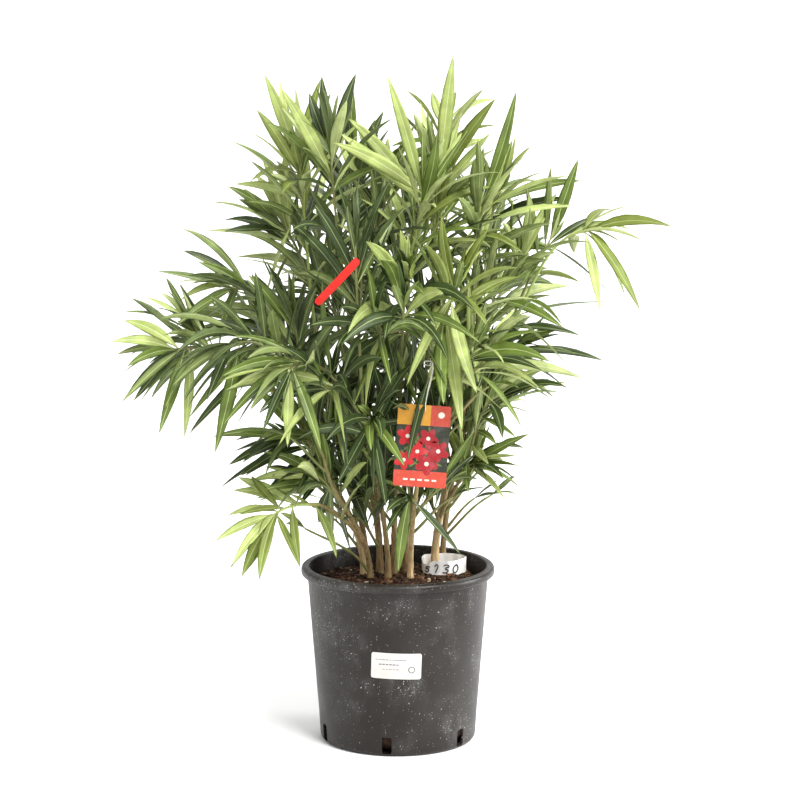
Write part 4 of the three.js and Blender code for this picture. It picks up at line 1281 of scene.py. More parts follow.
def rounded(outline: Sequence[Place], pieces: int = 6) -> list[Spot]:
    """Rounds the corners of an outline.

    Args:
        outline: Radius, height and rounding of each corner.
        pieces: Steps in each rounding.

    Returns:
        The rounded outline, as radii and heights.
    """
    points: list[Spot] = []
    for k, (x, y, rounding) in enumerate(outline):
        corner = Vector((x, y))
        if not rounding:
            points.append((x, y))
            continue
        before = (Vector(outline[k - 1][:2]) - corner).normalized()
        after = (Vector(outline[k + 1][:2]) - corner).normalized()
        for step in range(pieces + 1):
            t = step / pieces
            bend = before * (rounding * (1 - t) ** 2) + after * (rounding * t * t)
            points.append(tuple(corner + bend))
    return points


def copies(name: str, template: bpy.types.Mesh, places: Sequence[np.ndarray]) -> Piece:
    """Joins copies of a template into one piece.

    Args:
        name: The name of the piece.
        template: The mesh that is copied.
        places: The corners of each copy, in millimetres.

    Returns:
        The piece.
    """
    made = bmesh.new()
    for _ in places:
        made.from_mesh(template)
    piece = as_mesh(name, made)
    piece.data.vertices.foreach_set("co", np.concatenate(places).ravel() * MM)
    piece.data.update()
    return piece


def round_off(made: Made, parts: list, offset: float, kind: str) -> None:
    """Rounds off edges, or with VERTICES corners."""
    bmesh.ops.bevel(made, geom=parts, offset=offset, segments=4, profile=0.5, affect=kind, material=-1)


def add_sheet(made: Made, size: Spot, cells: tuple[int, int], rounding: float, thickness: float) -> None:
    """A level sheet of paper or card with rounded corners.

    Args:
        made: The bmesh that it joins.
        size: Its width and height.
        cells: How many cells it has each way.
        rounding: How far its corners are rounded.
        thickness: How thick it is.
    """
    bmesh.ops.create_grid(made, x_segments=cells[0], y_segments=cells[1], size=0.5)
    bmesh.ops.scale(made, vec=(*size, 1), verts=made.verts)
    round_off(made, [corner for corner in made.verts if len(corner.link_edges) == 2], rounding, "VERTICES")
    bmesh.ops.solidify(made, geom=made.faces[:], thickness=thickness)
    face_outwards(made)


def ink_number(ink: Enum) -> int:
    """The number of an ink's material, which is its place in its Enum."""
    return list(type(ink)).index(ink)


def print_shape(made: Made, place: Place, size: Spot, turn: float, ink: Enum, corners: int = 20) -> None:
    """Prints a flat shape on a label that is still lying flat.

    Args:
        made: The bmesh that it joins.
        place: Its middle.
        size: Its half sizes.
        turn: How far it is turned, in degrees.
        ink: Its ink.
        corners: How many corners it has. Four make a straight bar.
    """
    shape = bmesh.ops.create_circle(made, cap_ends=True, segments=corners, radius=1)["verts"]
    if corners == 4:
        bmesh.ops.rotate(made, matrix=turned(45, "Z"), verts=shape)
        bmesh.ops.scale(made, vec=(sqrt(2), sqrt(2), 1), verts=shape)
    bmesh.ops.scale(made, vec=(*size, 1), verts=shape)
    bmesh.ops.rotate(made, matrix=turned(turn, "Z"), verts=shape)
    bmesh.ops.translate(made, vec=place, verts=shape)
    for face in linked(shape, "link_faces"):
        face.material_index = ink_number(ink)
        face.normal_update()
        if face.normal.z < 0:
            face.normal_flip()


def mesh_of(piece: Piece) -> bpy.types.Mesh:
    """A plain mesh of a piece as it stands, with its modifiers."""
    bpy.context.view_layer.update()
    return bpy.data.meshes.new_from_object(piece.evaluated_get(bpy.context.evaluated_depsgraph_get()))


def cut(piece: Piece, tool: Piece) -> None:
    """Cuts a tool out of a piece, for good, and deletes the tool.

    Args:
        piece: The piece.
        tool: The closed form that is taken away.
    """
    cutter = piece.modifiers.new("cut", "BOOLEAN")
    cutter.object, cutter.operation, cutter.solver = tool, "DIFFERENCE", "EXACT"
    old, fresh = piece.data, mesh_of(piece)
    piece.modifiers.clear()
    piece.data = fresh
    bpy.data.meshes.remove(old)
    bpy.data.objects.remove(tool)
    fresh.name = piece.name


def add_thread(name: str, routes: Iterable[tuple[list[Vector], bool]], radius: float) -> Piece:
    """A smooth round thread along routes of points.

    Args:
        name: The name of the piece.
        routes: The points of each route in millimetres, and whether it is closed.
        radius: The radius of the thread.

    Returns:
        The piece, at the origin.
    """
    curve = bpy.data.curves.new(name, "CURVE")
    curve.dimensions, curve.use_fill_caps = "3D", True
    curve.bevel_depth, curve.bevel_resolution, curve.resolution_u = radius * MM, 2, 6
    for points, is_closed in routes:
        spline = curve.splines.new("BEZIER")
        spline.bezier_points.add(len(points) - 1)
        spline.use_cyclic_u = is_closed
        for place, point in zip(points, spline.bezier_points):
            point.co = place * MM
            point.handle_left_type = point.handle_right_type = "AUTO"
    lying = new_object(name + "_curve", curve)
    made = bmesh.new()
    made.from_mesh(mesh_of(lying))
    bpy.data.objects.remove(lying)
    bmesh.ops.scale(made, vec=Vector((1, 1, 1)) / MM, verts=made.verts)
    close_up(made, 0.001)
    return as_mesh(name, made)


# Finishes. Each is a small class whose make method gives a material.


class Nodes:
    """A short way to write a material's nodes."""

    def __init__(self, name: str) -> None:
        """Starts a material that has its shader and the coordinates of its object.

        Args:
            name: The name of the material.
        """
        self.material = bpy.data.materials.new(name)
        self.material.use_nodes = True
        self.tree = self.material.node_tree
        self.shader = self.tree.nodes["Principled BSDF"]
        self.place = self.tree.nodes.new("ShaderNodeTexCoord").outputs["Object"]

    def put(self, value: Value, target: Socket) -> None:
        """Links a socket to a target, or sets a plain value on it.

        Args:
            value: The socket, colour, vector or number.
            target: The target.
        """
        if isinstance(value, Socket):
            self.tree.links.new(value, target)
        else:
            target.default_value = (*value, 1) if target.type == "RGBA" else value

    def node(self, kind: str, inputs: dict[Key, Value], output: Key = 0, **settings: str) -> Socket:
        """Adds a node.

        Args:
            kind: Its kind.
            inputs: What goes into it, by number or name.
            output: The output that is used, by number or name.
            settings: Its settings.

        Returns:
            The socket of that output.
        """
        node = self.tree.nodes.new("ShaderNode" + kind)
        for name, setting in settings.items():
            setattr(node, name, setting)
        for target, value in inputs.items():
            self.put(value, node.inputs[target])
        return node.outputs[output]

    def height(self) -> Socket:
        """The height above the ground, in metres."""
        return self.node("SeparateXYZ", {0: self.place}, "Z")

    def noise(
        self, scale: float, detail: float = 3, stretch: Place = (1, 1, 1), rough: float = 0.55,
    ) -> Socket:
        """Noise on the object's own coordinates.

        Args:
            scale: Patches in a metre.
            detail: How many finer layers it has.
            stretch: A factor on each coordinate.
            rough: How strong the finer layers are.

        Returns:
            The socket of its value.
        """
        place = self.node("Mapping", {"Vector": self.place, "Scale": stretch}, "Vector")
        inputs = {"Vector": place, "Scale": scale, "Detail": detail, "Roughness": rough}
        return self.node("TexNoise", inputs, "Fac")

    def ramp(self, source: Socket, stops: Sequence[tuple[float, Colour | float]]) -> Socket:
        """Turns a value into a colour, or into another value.

        Args:
            source: The socket of the value.
            stops: Places from 0 to 1, each with its colour or its value.

        Returns:
            The socket of the result.
        """
        node = self.tree.nodes.new("ShaderNodeValToRGB")
        elements = node.color_ramp.elements
        while len(elements) < len(stops):
            elements.new(0.5)
        for element, (place, tone) in zip(elements, stops):
            element.position = place
            element.color = (*tone, 1) if isinstance(tone, tuple) else (tone, tone, tone, 1)
        self.put(source, node.inputs["Fac"])
        return node.outputs["Color"]

    def mix(self, first: Value, second: Value, share: Value = 1.0, blend: str = "MIX") -> Socket:
        """Mixes a share of the second colour over the first one."""
        return self.node("Mix", {6: first, 7: second, 0: share}, 2, data_type="RGBA", blend_type=blend)

    def maths(self, operation: str, first: Value, second: Value) -> Socket:
        """One step of arithmetic on two numbers."""
        return self.node("Math", {0: first, 1: second}, operation=operation)

    def bump(self, height: Socket, distance: float, strength: float = 1) -> None:
        """Gives the surface a relief, whose depth is in millimetres."""
        inputs = {"Distance": distance * MM, "Strength": strength, "Height": height}
        self.put(self.node("Bump", inputs, "Normal"), self.shader.inputs["Normal"])

    def finish(self, colour: Socket, roughness: Value, specular: float = 0.5) -> Material:
        """Sets the shader.

        Args:
            colour: The colour.
            roughness: The roughness.
            specular: The specular level.

        Returns:
            The material.
        """
        values = {"Base Color": colour, "Roughness": roughness, "Specular IOR Level": specular}
        for name, value in values.items():
            self.put(value, self.shader.inputs[name])
        return self.material


def linear(red: float, green: float, blue: float) -> Colour:
    """A colour seen as red, green and blue from 0 to 255, as the shader's own values."""
    parts = (part / 255 for part in (red, green, blue))
    return tuple(part / 12.92 if part <= 0.04045 else ((part + 0.055) / 1.055) ** 2.4 for part in parts)


def shaded(colour: Colour, share: float) -> Colour:
    """A colour times a share."""
    return tuple(part * share for part in colour)


@dataclass(frozen=True)
class LeafFinish:
    """A leathery leaf: a green that wanders a little, fine cross veins, and a soft gloss above."""

    name: str
    base: Colour
    roughness: float
    wander: float = 0.16
    relief: float = 0.35
    spread: float = 0.06

    def make(self) -> Material:
        """Makes it.

        Returns:
            The material.
        """
        nodes = Nodes(self.name)
        patches = nodes.noise(38, 2)
        veins = nodes.noise(900, 2, (1, 1, 0.5))
        light = tuple(min(part * (1 + self.wander * 1.6) + 0.004, 1) for part in self.base)
        stops = [(0.32, shaded(self.base, 1 - self.wander)), (0.5, self.base), (0.7, light)]
        fine = nodes.ramp(veins, [(0.35, 0.9), (0.65, 1.0)])
        colour = nodes.mix(nodes.ramp(patches, stops), fine, blend="MULTIPLY")
        nodes.bump(veins, self.relief, 0.5)
        low, high = self.roughness - self.spread, self.roughness + self.spread
        rough = nodes.ramp(patches, [(0.3, low), (0.7, high)])
        return nodes.finish(colour, rough, specular=0.32)


@dataclass(frozen=True)
class BarkFinish:
    """Young bark: pale brown and cracked at the foot, and green towards the top."""

    name: str = "cane_bark"
    pale: Colour = linear(158, 134, 92)
    brown: Colour = linear(92, 68, 42)
    green: Colour = linear(104, 112, 58)
    dot: Colour = linear(214, 200, 170)
    turns_green: tuple[float, float] = (0.26, 0.56)

    def make(self) -> Material:
        """Makes it.

        Returns:
            The material.
        """
        nodes = Nodes(self.name)
        streaks = nodes.noise(420, 4, (1, 1, 0.12), 0.65)
        spots = nodes.noise(600, 2, (1, 1, 1.6))
        wood = nodes.ramp(streaks, [(0.3, self.brown), (0.62, self.pale)])
        young = nodes.ramp(streaks, [(0.3, shaded(self.green, 0.8)), (0.7, self.green)])
        wander = nodes.maths("MULTIPLY", nodes.maths("SUBTRACT", nodes.noise(9, 1), 0.5), 0.35)
        height = nodes.maths("ADD", nodes.height(), wander)
        share = nodes.ramp(height, [(self.turns_green[0], 0.0), (self.turns_green[1], 1.0)])
        dots = nodes.ramp(spots, [(0.66, 0.0), (0.74, 0.55)])
        colour = nodes.mix(nodes.mix(wood, young, share), self.dot, dots)
        nodes.bump(nodes.maths("ADD", streaks, nodes.maths("MULTIPLY", spots, 0.5)), 0.8, 0.8)
        return nodes.finish(colour, nodes.ramp(streaks, [(0.3, 0.82), (0.7, 0.62)]), specular=0.35)


@dataclass(frozen=True)
class StemFinish:
    """The smooth green skin of this year's twigs, with a brown flush in places."""

    name: str
    green: Colour
    flush: Colour = linear(150, 120, 74)

    def make(self) -> Material:
        """Makes it.

        Returns:
            The material.
        """
        nodes = Nodes(self.name)
        patches = nodes.noise(26, 2, (1, 1, 0.6))
        lines = nodes.noise(700, 2, (1, 1, 0.1))
        colour = nodes.mix(self.green, self.flush, nodes.ramp(patches, [(0.5, 0.0), (0.75, 0.75)]))
        colour = nodes.mix(colour, nodes.ramp(lines, [(0.3, 0.82), (0.7, 1.0)]), blend="MULTIPLY")
        nodes.bump(lines, 0.3, 0.6)
        return nodes.finish(colour, nodes.ramp(lines, [(0.3, 0.6), (0.7, 0.45)]), specular=0.4)


@dataclass(frozen=True)
class PotFinish:
    """Charcoal nursery plastic with pale dust, dried splashes and scuffs."""

    name: str = "pot_plastic"
    base: Colour = linear(24, 18, 12)
    dust: Colour = linear(118, 118, 116)
    fleck: Colour = linear(206, 206, 202)
    drop: Colour = linear(170, 168, 162)
    flecked: float = 0.65
    spotted: float = 0.3

    def make(self) -> Material:
        """Makes it.

        Returns:
            The material.
        """
        nodes = Nodes(self.name)
        cloud = nodes.noise(9, 3, (1, 1, 0.7), 0.6)
        specks = nodes.noise(430, 2, rough=0.6)
        spots = nodes.noise(190, 1, rough=0.5)
        scuffs = nodes.noise(70, 6, (1, 1, 0.35), 0.8)
        patches = nodes.maths("ADD", nodes.noise(15, 2), nodes.maths("MULTIPLY", nodes.height(), 0.7))
        where = nodes.ramp(patches, [(0.56, 0.0), (0.76, 1.0)])
        veil = nodes.maths("MULTIPLY", where, nodes.ramp(scuffs, [(0.4, 0.0), (0.75, 0.4)]))
        thick = nodes.maths("ADD", specks, nodes.maths("MULTIPLY", where, 0.06))
        colour = nodes.mix(self.base, self.dust, nodes.ramp(cloud, [(0.4, 0.0), (0.8, 0.1)]))
        colour = nodes.mix(colour, self.dust, veil)
        colour = nodes.mix(colour, self.fleck, nodes.ramp(thick, [(0.7, 0.0), (0.74, self.flecked)]))
        colour = nodes.mix(colour, self.drop, nodes.ramp(spots, [(0.77, 0.0), (0.8, self.spotted)]))
        nodes.bump(nodes.maths("ADD", nodes.maths("MULTIPLY", specks, 0.4), scuffs), 0.3, 0.5)
        gloss = nodes.maths("ADD", cloud, nodes.maths("MULTIPLY", veil, 0.6))
        return nodes.finish(colour, nodes.ramp(gloss, [(0.35, 0.34), (0.9, 0.62)]), specular=0.3)


@dataclass(frozen=True)
class GrainFinish:
    """Crumbly matter, such as compost or bark chips."""

    name: str
    dark: Colour
    light: Colour
    scale: float = 300
    depth: float = 1
    roughness: float = 0.9

    def make(self) -> Material:
        """Makes it.

        Returns:
            The material.
        """
        nodes = Nodes(self.name)
        grain = nodes.noise(self.scale, 6, rough=0.7)
        shade = nodes.ramp(nodes.noise(self.scale / 9, 3), [(0.35, 0.7), (0.65, 1.0)])
        colour = nodes.ramp(grain, [(0.34, self.dark), (0.68, self.light)])
        nodes.bump(grain, self.depth, 0.9)
        rough = nodes.ramp(grain, [(0.3, min(self.roughness + 0.06, 1)), (0.7, self.roughness - 0.1)])
        return nodes.finish(nodes.mix(colour, shade, blend="MULTIPLY"), rough, specular=0.25)


@dataclass(frozen=True)
class PlainFinish:
    """Paper, card, thread or thin plastic: an even colour that grain and rubbing break up a little."""

    name: str
    ink: Colour
    gloss: float = 0.5
    worn: float = 0.12

    def make(self) -> Material:
        """Makes it.

        Returns:
            The material.
        """
        nodes = Nodes(self.name)
        rubbing = nodes.noise(60, 4, rough=0.7)
        faded = tuple(part + (0.75 - part) * self.worn for part in self.ink)
        colour = nodes.ramp(rubbing, [(0.3, shaded(self.ink, 0.86)), (0.5, self.ink), (0.72, faded)])
        nodes.bump(nodes.noise(1500, 3, rough=0.6), 0.06, 0.5)
        rough = nodes.ramp(rubbing, [(0.3, 1 - self.gloss), (0.7, 1.12 - self.gloss)])
        return nodes.finish(colour, rough, specular=0.4)


# The pieces. Each class holds its own sizes, builds its meshes and dresses them.


def settle(piece: Piece, finishes: Iterable[Material], slot: str, *nodes: str) -> Piece:
    """Gives a piece its finishes, lets it stand for its CAD nodes, and lets it ride on the body.

    Args:
        piece: The piece.
        finishes: Its materials, in order.
        slot: The material slot of the record that it belongs to. It is not used.
        nodes: The CAD nodes that it stands for.

    Returns:
        The piece.
    """
    for material in finishes:
        piece.data.materials.append(material)
    if nodes:
        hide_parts(*nodes)
    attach(piece, BODY)
    LOG.info("%s: %d faces, for %d nodes", piece.name, len(piece.data.polygons), len(nodes))
    return piece


@dataclass
class NurseryPot:
    """The round black pot: a tapered wall, a rolled rim and six drainage slots at its foot."""

    size: PotSize = POT
    steps: int = 144
    slots: int = 6
    slot_turn: float = -8
    slot_width: float = 14
    slot_bottom: float = 4
    slot_top: float = 29
    slot_rounding: float = 3
    slot_past: float = 6
    finish: PotFinish = PotFinish()

    def outline(self) -> list[Spot]:
        """The section of the wall.

        Returns:
            Radii and heights, from the middle of the underside round to the middle of the floor.
        """
        s = self.size
        under_rim, inside = s.height - s.rim_height, s.neck_radius - s.wall
        return rounded([
            (0, 4, 0), (s.foot_radius * 0.55, 4, 2), (s.foot_radius * 0.62, 0, 2),
            (s.foot_radius, 0, s.foot_rounding), (s.wall_radius(40), 40, 0), (s.neck_radius, under_rim, 1.5),
            (s.rim_radius, under_rim, 4.5), (s.rim_radius, s.height, 7), (inside, s.height, 2.5),
            (inside, under_rim, 0), (s.foot_radius - s.wall, s.wall + 1, s.foot_rounding), (0, s.wall + 4, 0),
        ])

    def cutter(self) -> Piece:
        """The blocks that open the slots.

        Returns:
            All of them in one mesh, with rounded corners.
        """
        made = bmesh.new()
        size = (self.slot_width, 4 * self.size.foot_rounding, self.slot_top - self.slot_bottom)
        middle = (0, -self.size.foot_radius - self.slot_past, (self.slot_top + self.slot_bottom) / 2)
        for k in range(self.slots):
            before = set(made.verts)
            block = bmesh.ops.create_cube(made, size=1)["verts"]
            bmesh.ops.scale(made, vec=size, verts=block)
            upright = [edge for edge in linked(block) if abs(edge.verts[0].co.y - edge.verts[1].co.y) > 1]
            round_off(made, upright, self.slot_rounding, "EDGES")
            whole = [corner for corner in made.verts if corner not in before]
            bmesh.ops.translate(made, vec=middle, verts=whole)
            bmesh.ops.rotate(made, matrix=turned(self.slot_turn + 360 * k / self.slots, "Z"), verts=whole)
        face_outwards(made)
        return as_mesh("slot_cutter", made)

    def build(self) -> None:
        """The finished pot."""
        made = bmesh.new()
        spin_profile(made, self.outline(), self.steps)
        piece = as_mesh("nursery_pot", made)
        cut(piece, self.cutter())
        smooth_by_angle(piece.data, 40)
        settle(piece, [self.finish.make()], "pot", "pot")


@dataclass(frozen=True)
class Litter:
    """One kind of crumb on the compost: how many, their usual half sizes, a key and their finish."""

    name: str
    count: int
    shape: Place
    key: int
    finish: GrainFinish


@dataclass
class Compost:
    """The compost: an uneven crust, strewn with crumbs, bark chips and a few pale flakes."""

    crust_rings: int = 44
    crust_steps: int = 144
    above_floor: float = 4.5
    foot_gap: float = 14
    foot_top: float = 20
    edge_drop: float = 6
    flat_radius: float = 92
    lumps: float = 3.2
    lump_width: float = 17
    bump_width: float = 6
    strewn: float = 0.985
    smallest: float = 0.45
    larger: float = 1.1
    uneven: float = 0.3
    tipped: float = 0.6
    facing: float = 6.3
    finish: GrainFinish = GrainFinish("compost_soil", linear(26, 16, 10), linear(64, 42, 28), depth=2)
    litters: tuple[Litter, ...] = (
        Litter("crumbs", 1700, (3.0, 2.5, 2.1), 1, GrainFinish(
            "compost_crumbs", linear(30, 18, 11), linear(80, 54, 34))),
        Litter("chips", 620, (6.0, 2.8, 1.6), 2, GrainFinish(
            "bark_chips", linear(56, 34, 20), linear(124, 86, 54), 200, 1, 0.8)),
        Litter("flakes", 230, (3.6, 1.7, 1.0), 3, GrainFinish(
            "pale_flakes", linear(184, 160, 130), linear(232, 218, 194), 200, 0.6, 0.75)),
    )

    def edge_radius(self) -> float:
        """The radius of the crust, a hair inside the wall."""
        return POT.wall_radius(POT.soil - self.edge_drop) - POT.wall - 0.3

    def level(self, x: float, y: float) -> float:
        """The height of the crust at a place.

        Args:
            x: How far the place is to the right.
            y: How far it is to the back.

        Returns:
            The height, in millimetres.
        """
        past = (hypot(x, y) - self.flat_radius) / (self.edge_radius() - self.flat_radius)
        lump = noise.noise((x / self.lump_width, y / self.lump_width, 3.1))
        lump += 0.5 * noise.noise((x / self.bump_width, y / self.bump_width, 9.2))
        return POT.soil - 1.2 - self.edge_drop * min(max(past, 0), 1) + lump * self.lumps

    def crust(self) -> None:
        """The body of the compost, with its lumpy top."""
        made = bmesh.new()
        edge, bottom = self.edge_radius(), POT.wall + self.above_floor
        outline = [(0, bottom), (POT.foot_radius - self.foot_gap, bottom)]
        outline.append((POT.wall_radius(self.foot_top) - POT.wall - 1, self.foot_top))
        outline += [(edge * (1 - k / self.crust_rings), POT.soil) for k in range(self.crust_rings + 1)]
        spin_profile(made, outline, self.crust_steps)
        for corner in made.verts:
            if corner.co.z > POT.soil - 1:
                corner.co.z = self.level(corner.co.x, corner.co.y)
        settle(as_mesh("compost_crust", made), [self.finish.make()], "compost", "compost")

    def crumb(self, base: np.ndarray, litter: Litter, k: int) -> np.ndarray:
        """One crumb in its place.

        Args:
            base: The corners of a round crumb of radius 1.
            litter: Its kind.
            k: Its number.

        Returns:
            Its corners.
        """
        radius = self.edge_radius() * self.strewn * sqrt(chance(k, litter.key, 1))
        angle = 2 * pi * chance(k, litter.key, 2)
        x, y = radius * cos(angle), radius * sin(angle)
        size = self.smallest + self.larger * chance(k, litter.key, 3) ** 2
        turn = Matrix.Rotation(self.facing * chance(k, litter.key, 4), 3, "Z")
        turn = turn @ Matrix.Rotation(jitter(self.tipped, k, litter.key, 5), 3, "X")
        uneven = [[1 + jitter(self.uneven, k, litter.key, 10 + corner)] for corner in range(len(base))]
        own = base * np.array(uneven) * np.array(litter.shape) * size
        return own @ np.array(turn).T + (x, y, self.level(x, y) + litter.shape[2] * size * 0.45)

    def strew(self, litter: Litter) -> None:
        """Scatters one kind of crumb over the crust, joined into one piece.

        Args:
            litter: The kind.
        """
        made = bmesh.new()
        bmesh.ops.create_icosphere(made, subdivisions=1, radius=1)
        template = bpy.data.meshes.new("crumb_shape")
        made.to_mesh(template)
        made.free()
        base = np.array([corner.co for corner in template.vertices])
        piece = copies(litter.name, template, [self.crumb(base, litter, k) for k in range(litter.count)])
        bpy.data.meshes.remove(template)
        smooth_by_angle(piece.data, 30)
        settle(piece, [litter.finish.make()], "compost")

    def build(self) -> None:
        """The crust and all that lies on it."""
        self.crust()
        for litter in self.litters:
            self.strew(litter)


@dataclass
class Wood:
    """The canes and boughs, with the ridges, cracks and joints of young bark."""

    limbs: dict[str, Limb]
    sides: int = 18
    stretch: float = 3.6
    ridge: float = 0.32
    ridge_size: Place = (2.6, 2.6, 15)
    knots: float = 0.8
    knot_size: Place = (7, 7, 9)
    joint: float = 0.55
    joint_gap: float = 38
    joint_width: float = 2.4
    finish: BarkFinish = BarkFinish()
    pale_finish: BarkFinish = BarkFinish(
        "cane_bark_pale", linear(206, 180, 134), linear(138, 106, 68), linear(118, 124, 66),
    )
    pale_canes: tuple[str, ...] = ("cane_right", "cane_front", "cane_far_left")

    def height(self, length: float, point: Vector, share: float) -> float:
        """The height of the bark: ridges, knots and joints.

        Args:
            length: The length of the limb.
            point: A point on its skin.
            share: The share of its length.

        Returns:
            The height there, in millimetres.
        """
        ridges = noise.noise([part / size for part, size in zip(point, self.ridge_size)])
        knots = noise.noise([part / size for part, size in zip(point, self.knot_size)])
        off = (share * length) % self.joint_gap - self.joint_gap / 2
        joint = exp(-((off / self.joint_width) ** 2))
        return self.ridge * (ridges + self.knots * knots) + self.joint * joint

    def build(self) -> None:
        """Every cane and bough."""
        barks = (self.finish.make(), self.pale_finish.make())
        for name, limb in self.limbs.items():
            made = bmesh.new()
            steps = max(int(limb.path.length / self.stretch), 8)
            add_tube(made, limb, self.sides, steps, partial(self.height, limb.path.length))
            close_up(made)
            settle(as_mesh(name + "_bark", made), [barks[name in self.pale_canes]], "bark", name)


@dataclass
class Twigs:
    """The stems and side twigs that carry the leaves, joined by part of the crown."""

    masses: list[Mass]
    sides: int = 8
    stretch: float = 11
    knot: float = 0.35
    knot_spread: float = 30
    slim: float = 0.92
    young: StemFinish = StemFinish("young_stem", linear(150, 168, 88))
    older: StemFinish = StemFinish("older_stem", linear(122, 128, 74), linear(134, 104, 66))

    def skin(self, limb: Limb) -> Limb:
        """Swells a limb a little at each whorl.

        Args:
            limb: The limb.

        Returns:
            The same limb with its knots.
        """

        def radius_at(share: float) -> float:
            """The radius at a share of the length."""
            off = (1 - share) * limb.path.length % (2 * self.stretch) - self.stretch
            return limb.radius_at(share) * self.slim + self.knot * exp(-(off**2) / self.knot_spread)

        return Limb(limb.path, radius_at)

    def build(self) -> None:
        """One piece for each part of the crown."""
        finishes = [self.young.make(), self.older.make()]
        for region in Region:
            made = bmesh.new()
            for mass in (mass for mass in self.masses if mass.region is region):
                before = len(made.faces)
                for limb in mass.axes:
                    add_tube(made, self.skin(limb), self.sides, max(int(limb.path.length / self.stretch), 5))
                for face in made.faces[before:]:
                    face.material_index = 0 if mass.shoot.tone.value > Tone.MID.value else 1
            face_outwards(made)
            settle(as_mesh("twigs_" + region.value, made), finishes, "bark")


class Column(Enum):
    """A row of corners that runs the length of a leaf blade."""

    RIB = 1
    HALFWAY = 2
    EDGE = 3


@dataclass
class Blade:
    """The shape that every leaf is bent from: a closed lance blade with a rib above and a keel below."""

    shares: tuple[float, ...] = (0, 0.03, 0.1, 0.2, 0.32, 0.45, 0.58, 0.71, 0.83, 0.93, 1)
    fullest: float = 0.868
    fullness: float = 0.86
    base_taper: float = 0.13
    stalk: float = 1.3
    rib: float = 0.72
    rib_taper: float = 0.55
    rib_most: float = 0.6
    halfway: float = 0.52
    thin: float = 0.22
    keel: float = 0.75
    keel_taper: float = 0.6
    fold: tuple[float, float] = (8, 42)
    fold_rarity: float = 1.5
    young_fold: float = 14
    cupped: float = 0.3
    waves: float = 1.5
    wave: float = 0.5
    bow: float = 0.04
    rolls_over: float = 0.08

    # Round a section: the column, with its side as its sign, and 0 above or -1 below.
    ROUND = (
        (-3, 0), (-2, 0), (-1, 0), (1, 0), (2, 0), (3, 0), (2, -1), (1, -1), (-1, -1), (-2, -1),
    )

    def template(self) -> bpy.types.Mesh:
        """The blade before it is bent.

        Returns:
            A mesh where column, share of the length and layer stand in for a corner's place.
        """
        made = bmesh.new()
        rings = []
        for share in self.shares:
            corners = bmesh.ops.create_circle(made, segments=len(self.ROUND), radius=1)["verts"]
            for corner, (column, layer) in zip(corners, self.ROUND):
                corner.co = (column, share, layer)
            rings.append(linked(corners))
        for low, high in zip(rings, rings[1:]):
            bmesh.ops.bridge_loops(made, edges=low + high)
        bmesh.ops.contextual_create(made, geom=rings[0])
        tip = [corner for corner in made.verts if corner.co.y == 1]
        bmesh.ops.pointmerge(made, verts=tip, merge_co=(0, 1, 0))
        face_outwards(made)
        for face in made.faces:
            is_rib = max(abs(corner.co.x) for corner in face.verts) <= Column.RIB.value
            is_below = min(corner.co.z for corner in face.verts) < 0
            face.material_index = (Skin.RIB if is_rib else Skin.UNDER if is_below else Skin.UPPER).value
        mesh = bpy.data.meshes.new("blade")
        made.to_mesh(mesh)
        made.free()
        return mesh

    def section(self, leaf: Leaf, code: np.ndarray) -> tuple[np.ndarray, np.ndarray]:
        """Lays the corners of a leaf out across its rib, folded, waved and rolled.

        Args:
            leaf: The leaf.
            code: The template's corners: column, share and layer.

        Returns:
            How far each corner is to the side of the rib, and how far above it.
        """
        column, share, layer = code.T
        lance = np.sin(np.pi * share**self.fullest).clip(0) ** self.fullness
        lance = lance * (1 - np.exp(-share / self.base_taper)) * leaf.width / 2
        half = np.maximum(lance, self.stalk * (1 - share))
        kind, sign = np.abs(column), np.sign(column)
        rib = np.minimum(self.rib * (1 - self.rib_taper * share), self.rib_most * half)
        edge, halfway = kind == Column.EDGE.value, kind == Column.HALFWAY.value
        out = np.select([edge, halfway], [half, self.halfway * half], rib)
        low, high = self.fold
        fold = low + (high - low) * chance(leaf.owner, leaf.seed, 20) ** self.fold_rarity
        fold = radians(fold + self.young_fold * max(1 - leaf.length / LEAF.length, 0) * 2)
        ratio = out / np.maximum(half, 1e-6)
        waves = 2 * np.pi * (self.waves * share + chance(leaf.owner, leaf.seed, 21)) + sign
        rise = out * sin(fold) * (1 - self.cupped * ratio)
        rise += self.wave * np.sin(waves) * ratio**2 * np.sin(np.pi * share)
        deep = np.where(kind == Column.RIB.value, self.keel * (1 - self.keel_taper * share), self.thin)
        rise += layer * deep * (share < 1)
        across = sign * out * cos(fold)
        turn = np.radians(leaf.roll * (1 - np.exp(-share / self.rolls_over)) + leaf.twist * share)
        bow = jitter(self.bow, leaf.owner, leaf.seed, 23) * leaf.length * 4 * share * (1 - share)
        return across * np.cos(turn) - rise * np.sin(turn) + bow, across * np.sin(turn) + rise * np.cos(turn)

    def bent(self, leaf: Leaf, code: np.ndarray) -> np.ndarray:
        """Bends the blade into a leaf.

        Args:
            leaf: The leaf.
            code: The template's corners: column, share and layer.

        Returns:
            The corners of the leaf, in millimetres.
        """
        share = code[:, 1]
        beside, above = self.section(leaf, code)
        way, side = np.array(leaf.way), np.array(leaf.side)
        ahead = way + np.outer(4 * leaf.arch * (1 - 2 * share) - 2 * leaf.sag * share, UP)
        upper = np.cross(side, ahead)
        upper /= np.linalg.norm(upper, axis=1)[:, None]
        rise = 4 * leaf.arch * share * (1 - share) - leaf.sag * share**2
        centre = np.array(leaf.root) + np.outer(share * leaf.length, way) + np.outer(rise * leaf.length, UP)
        return centre + beside[:, None] * side + above[:, None] * upper


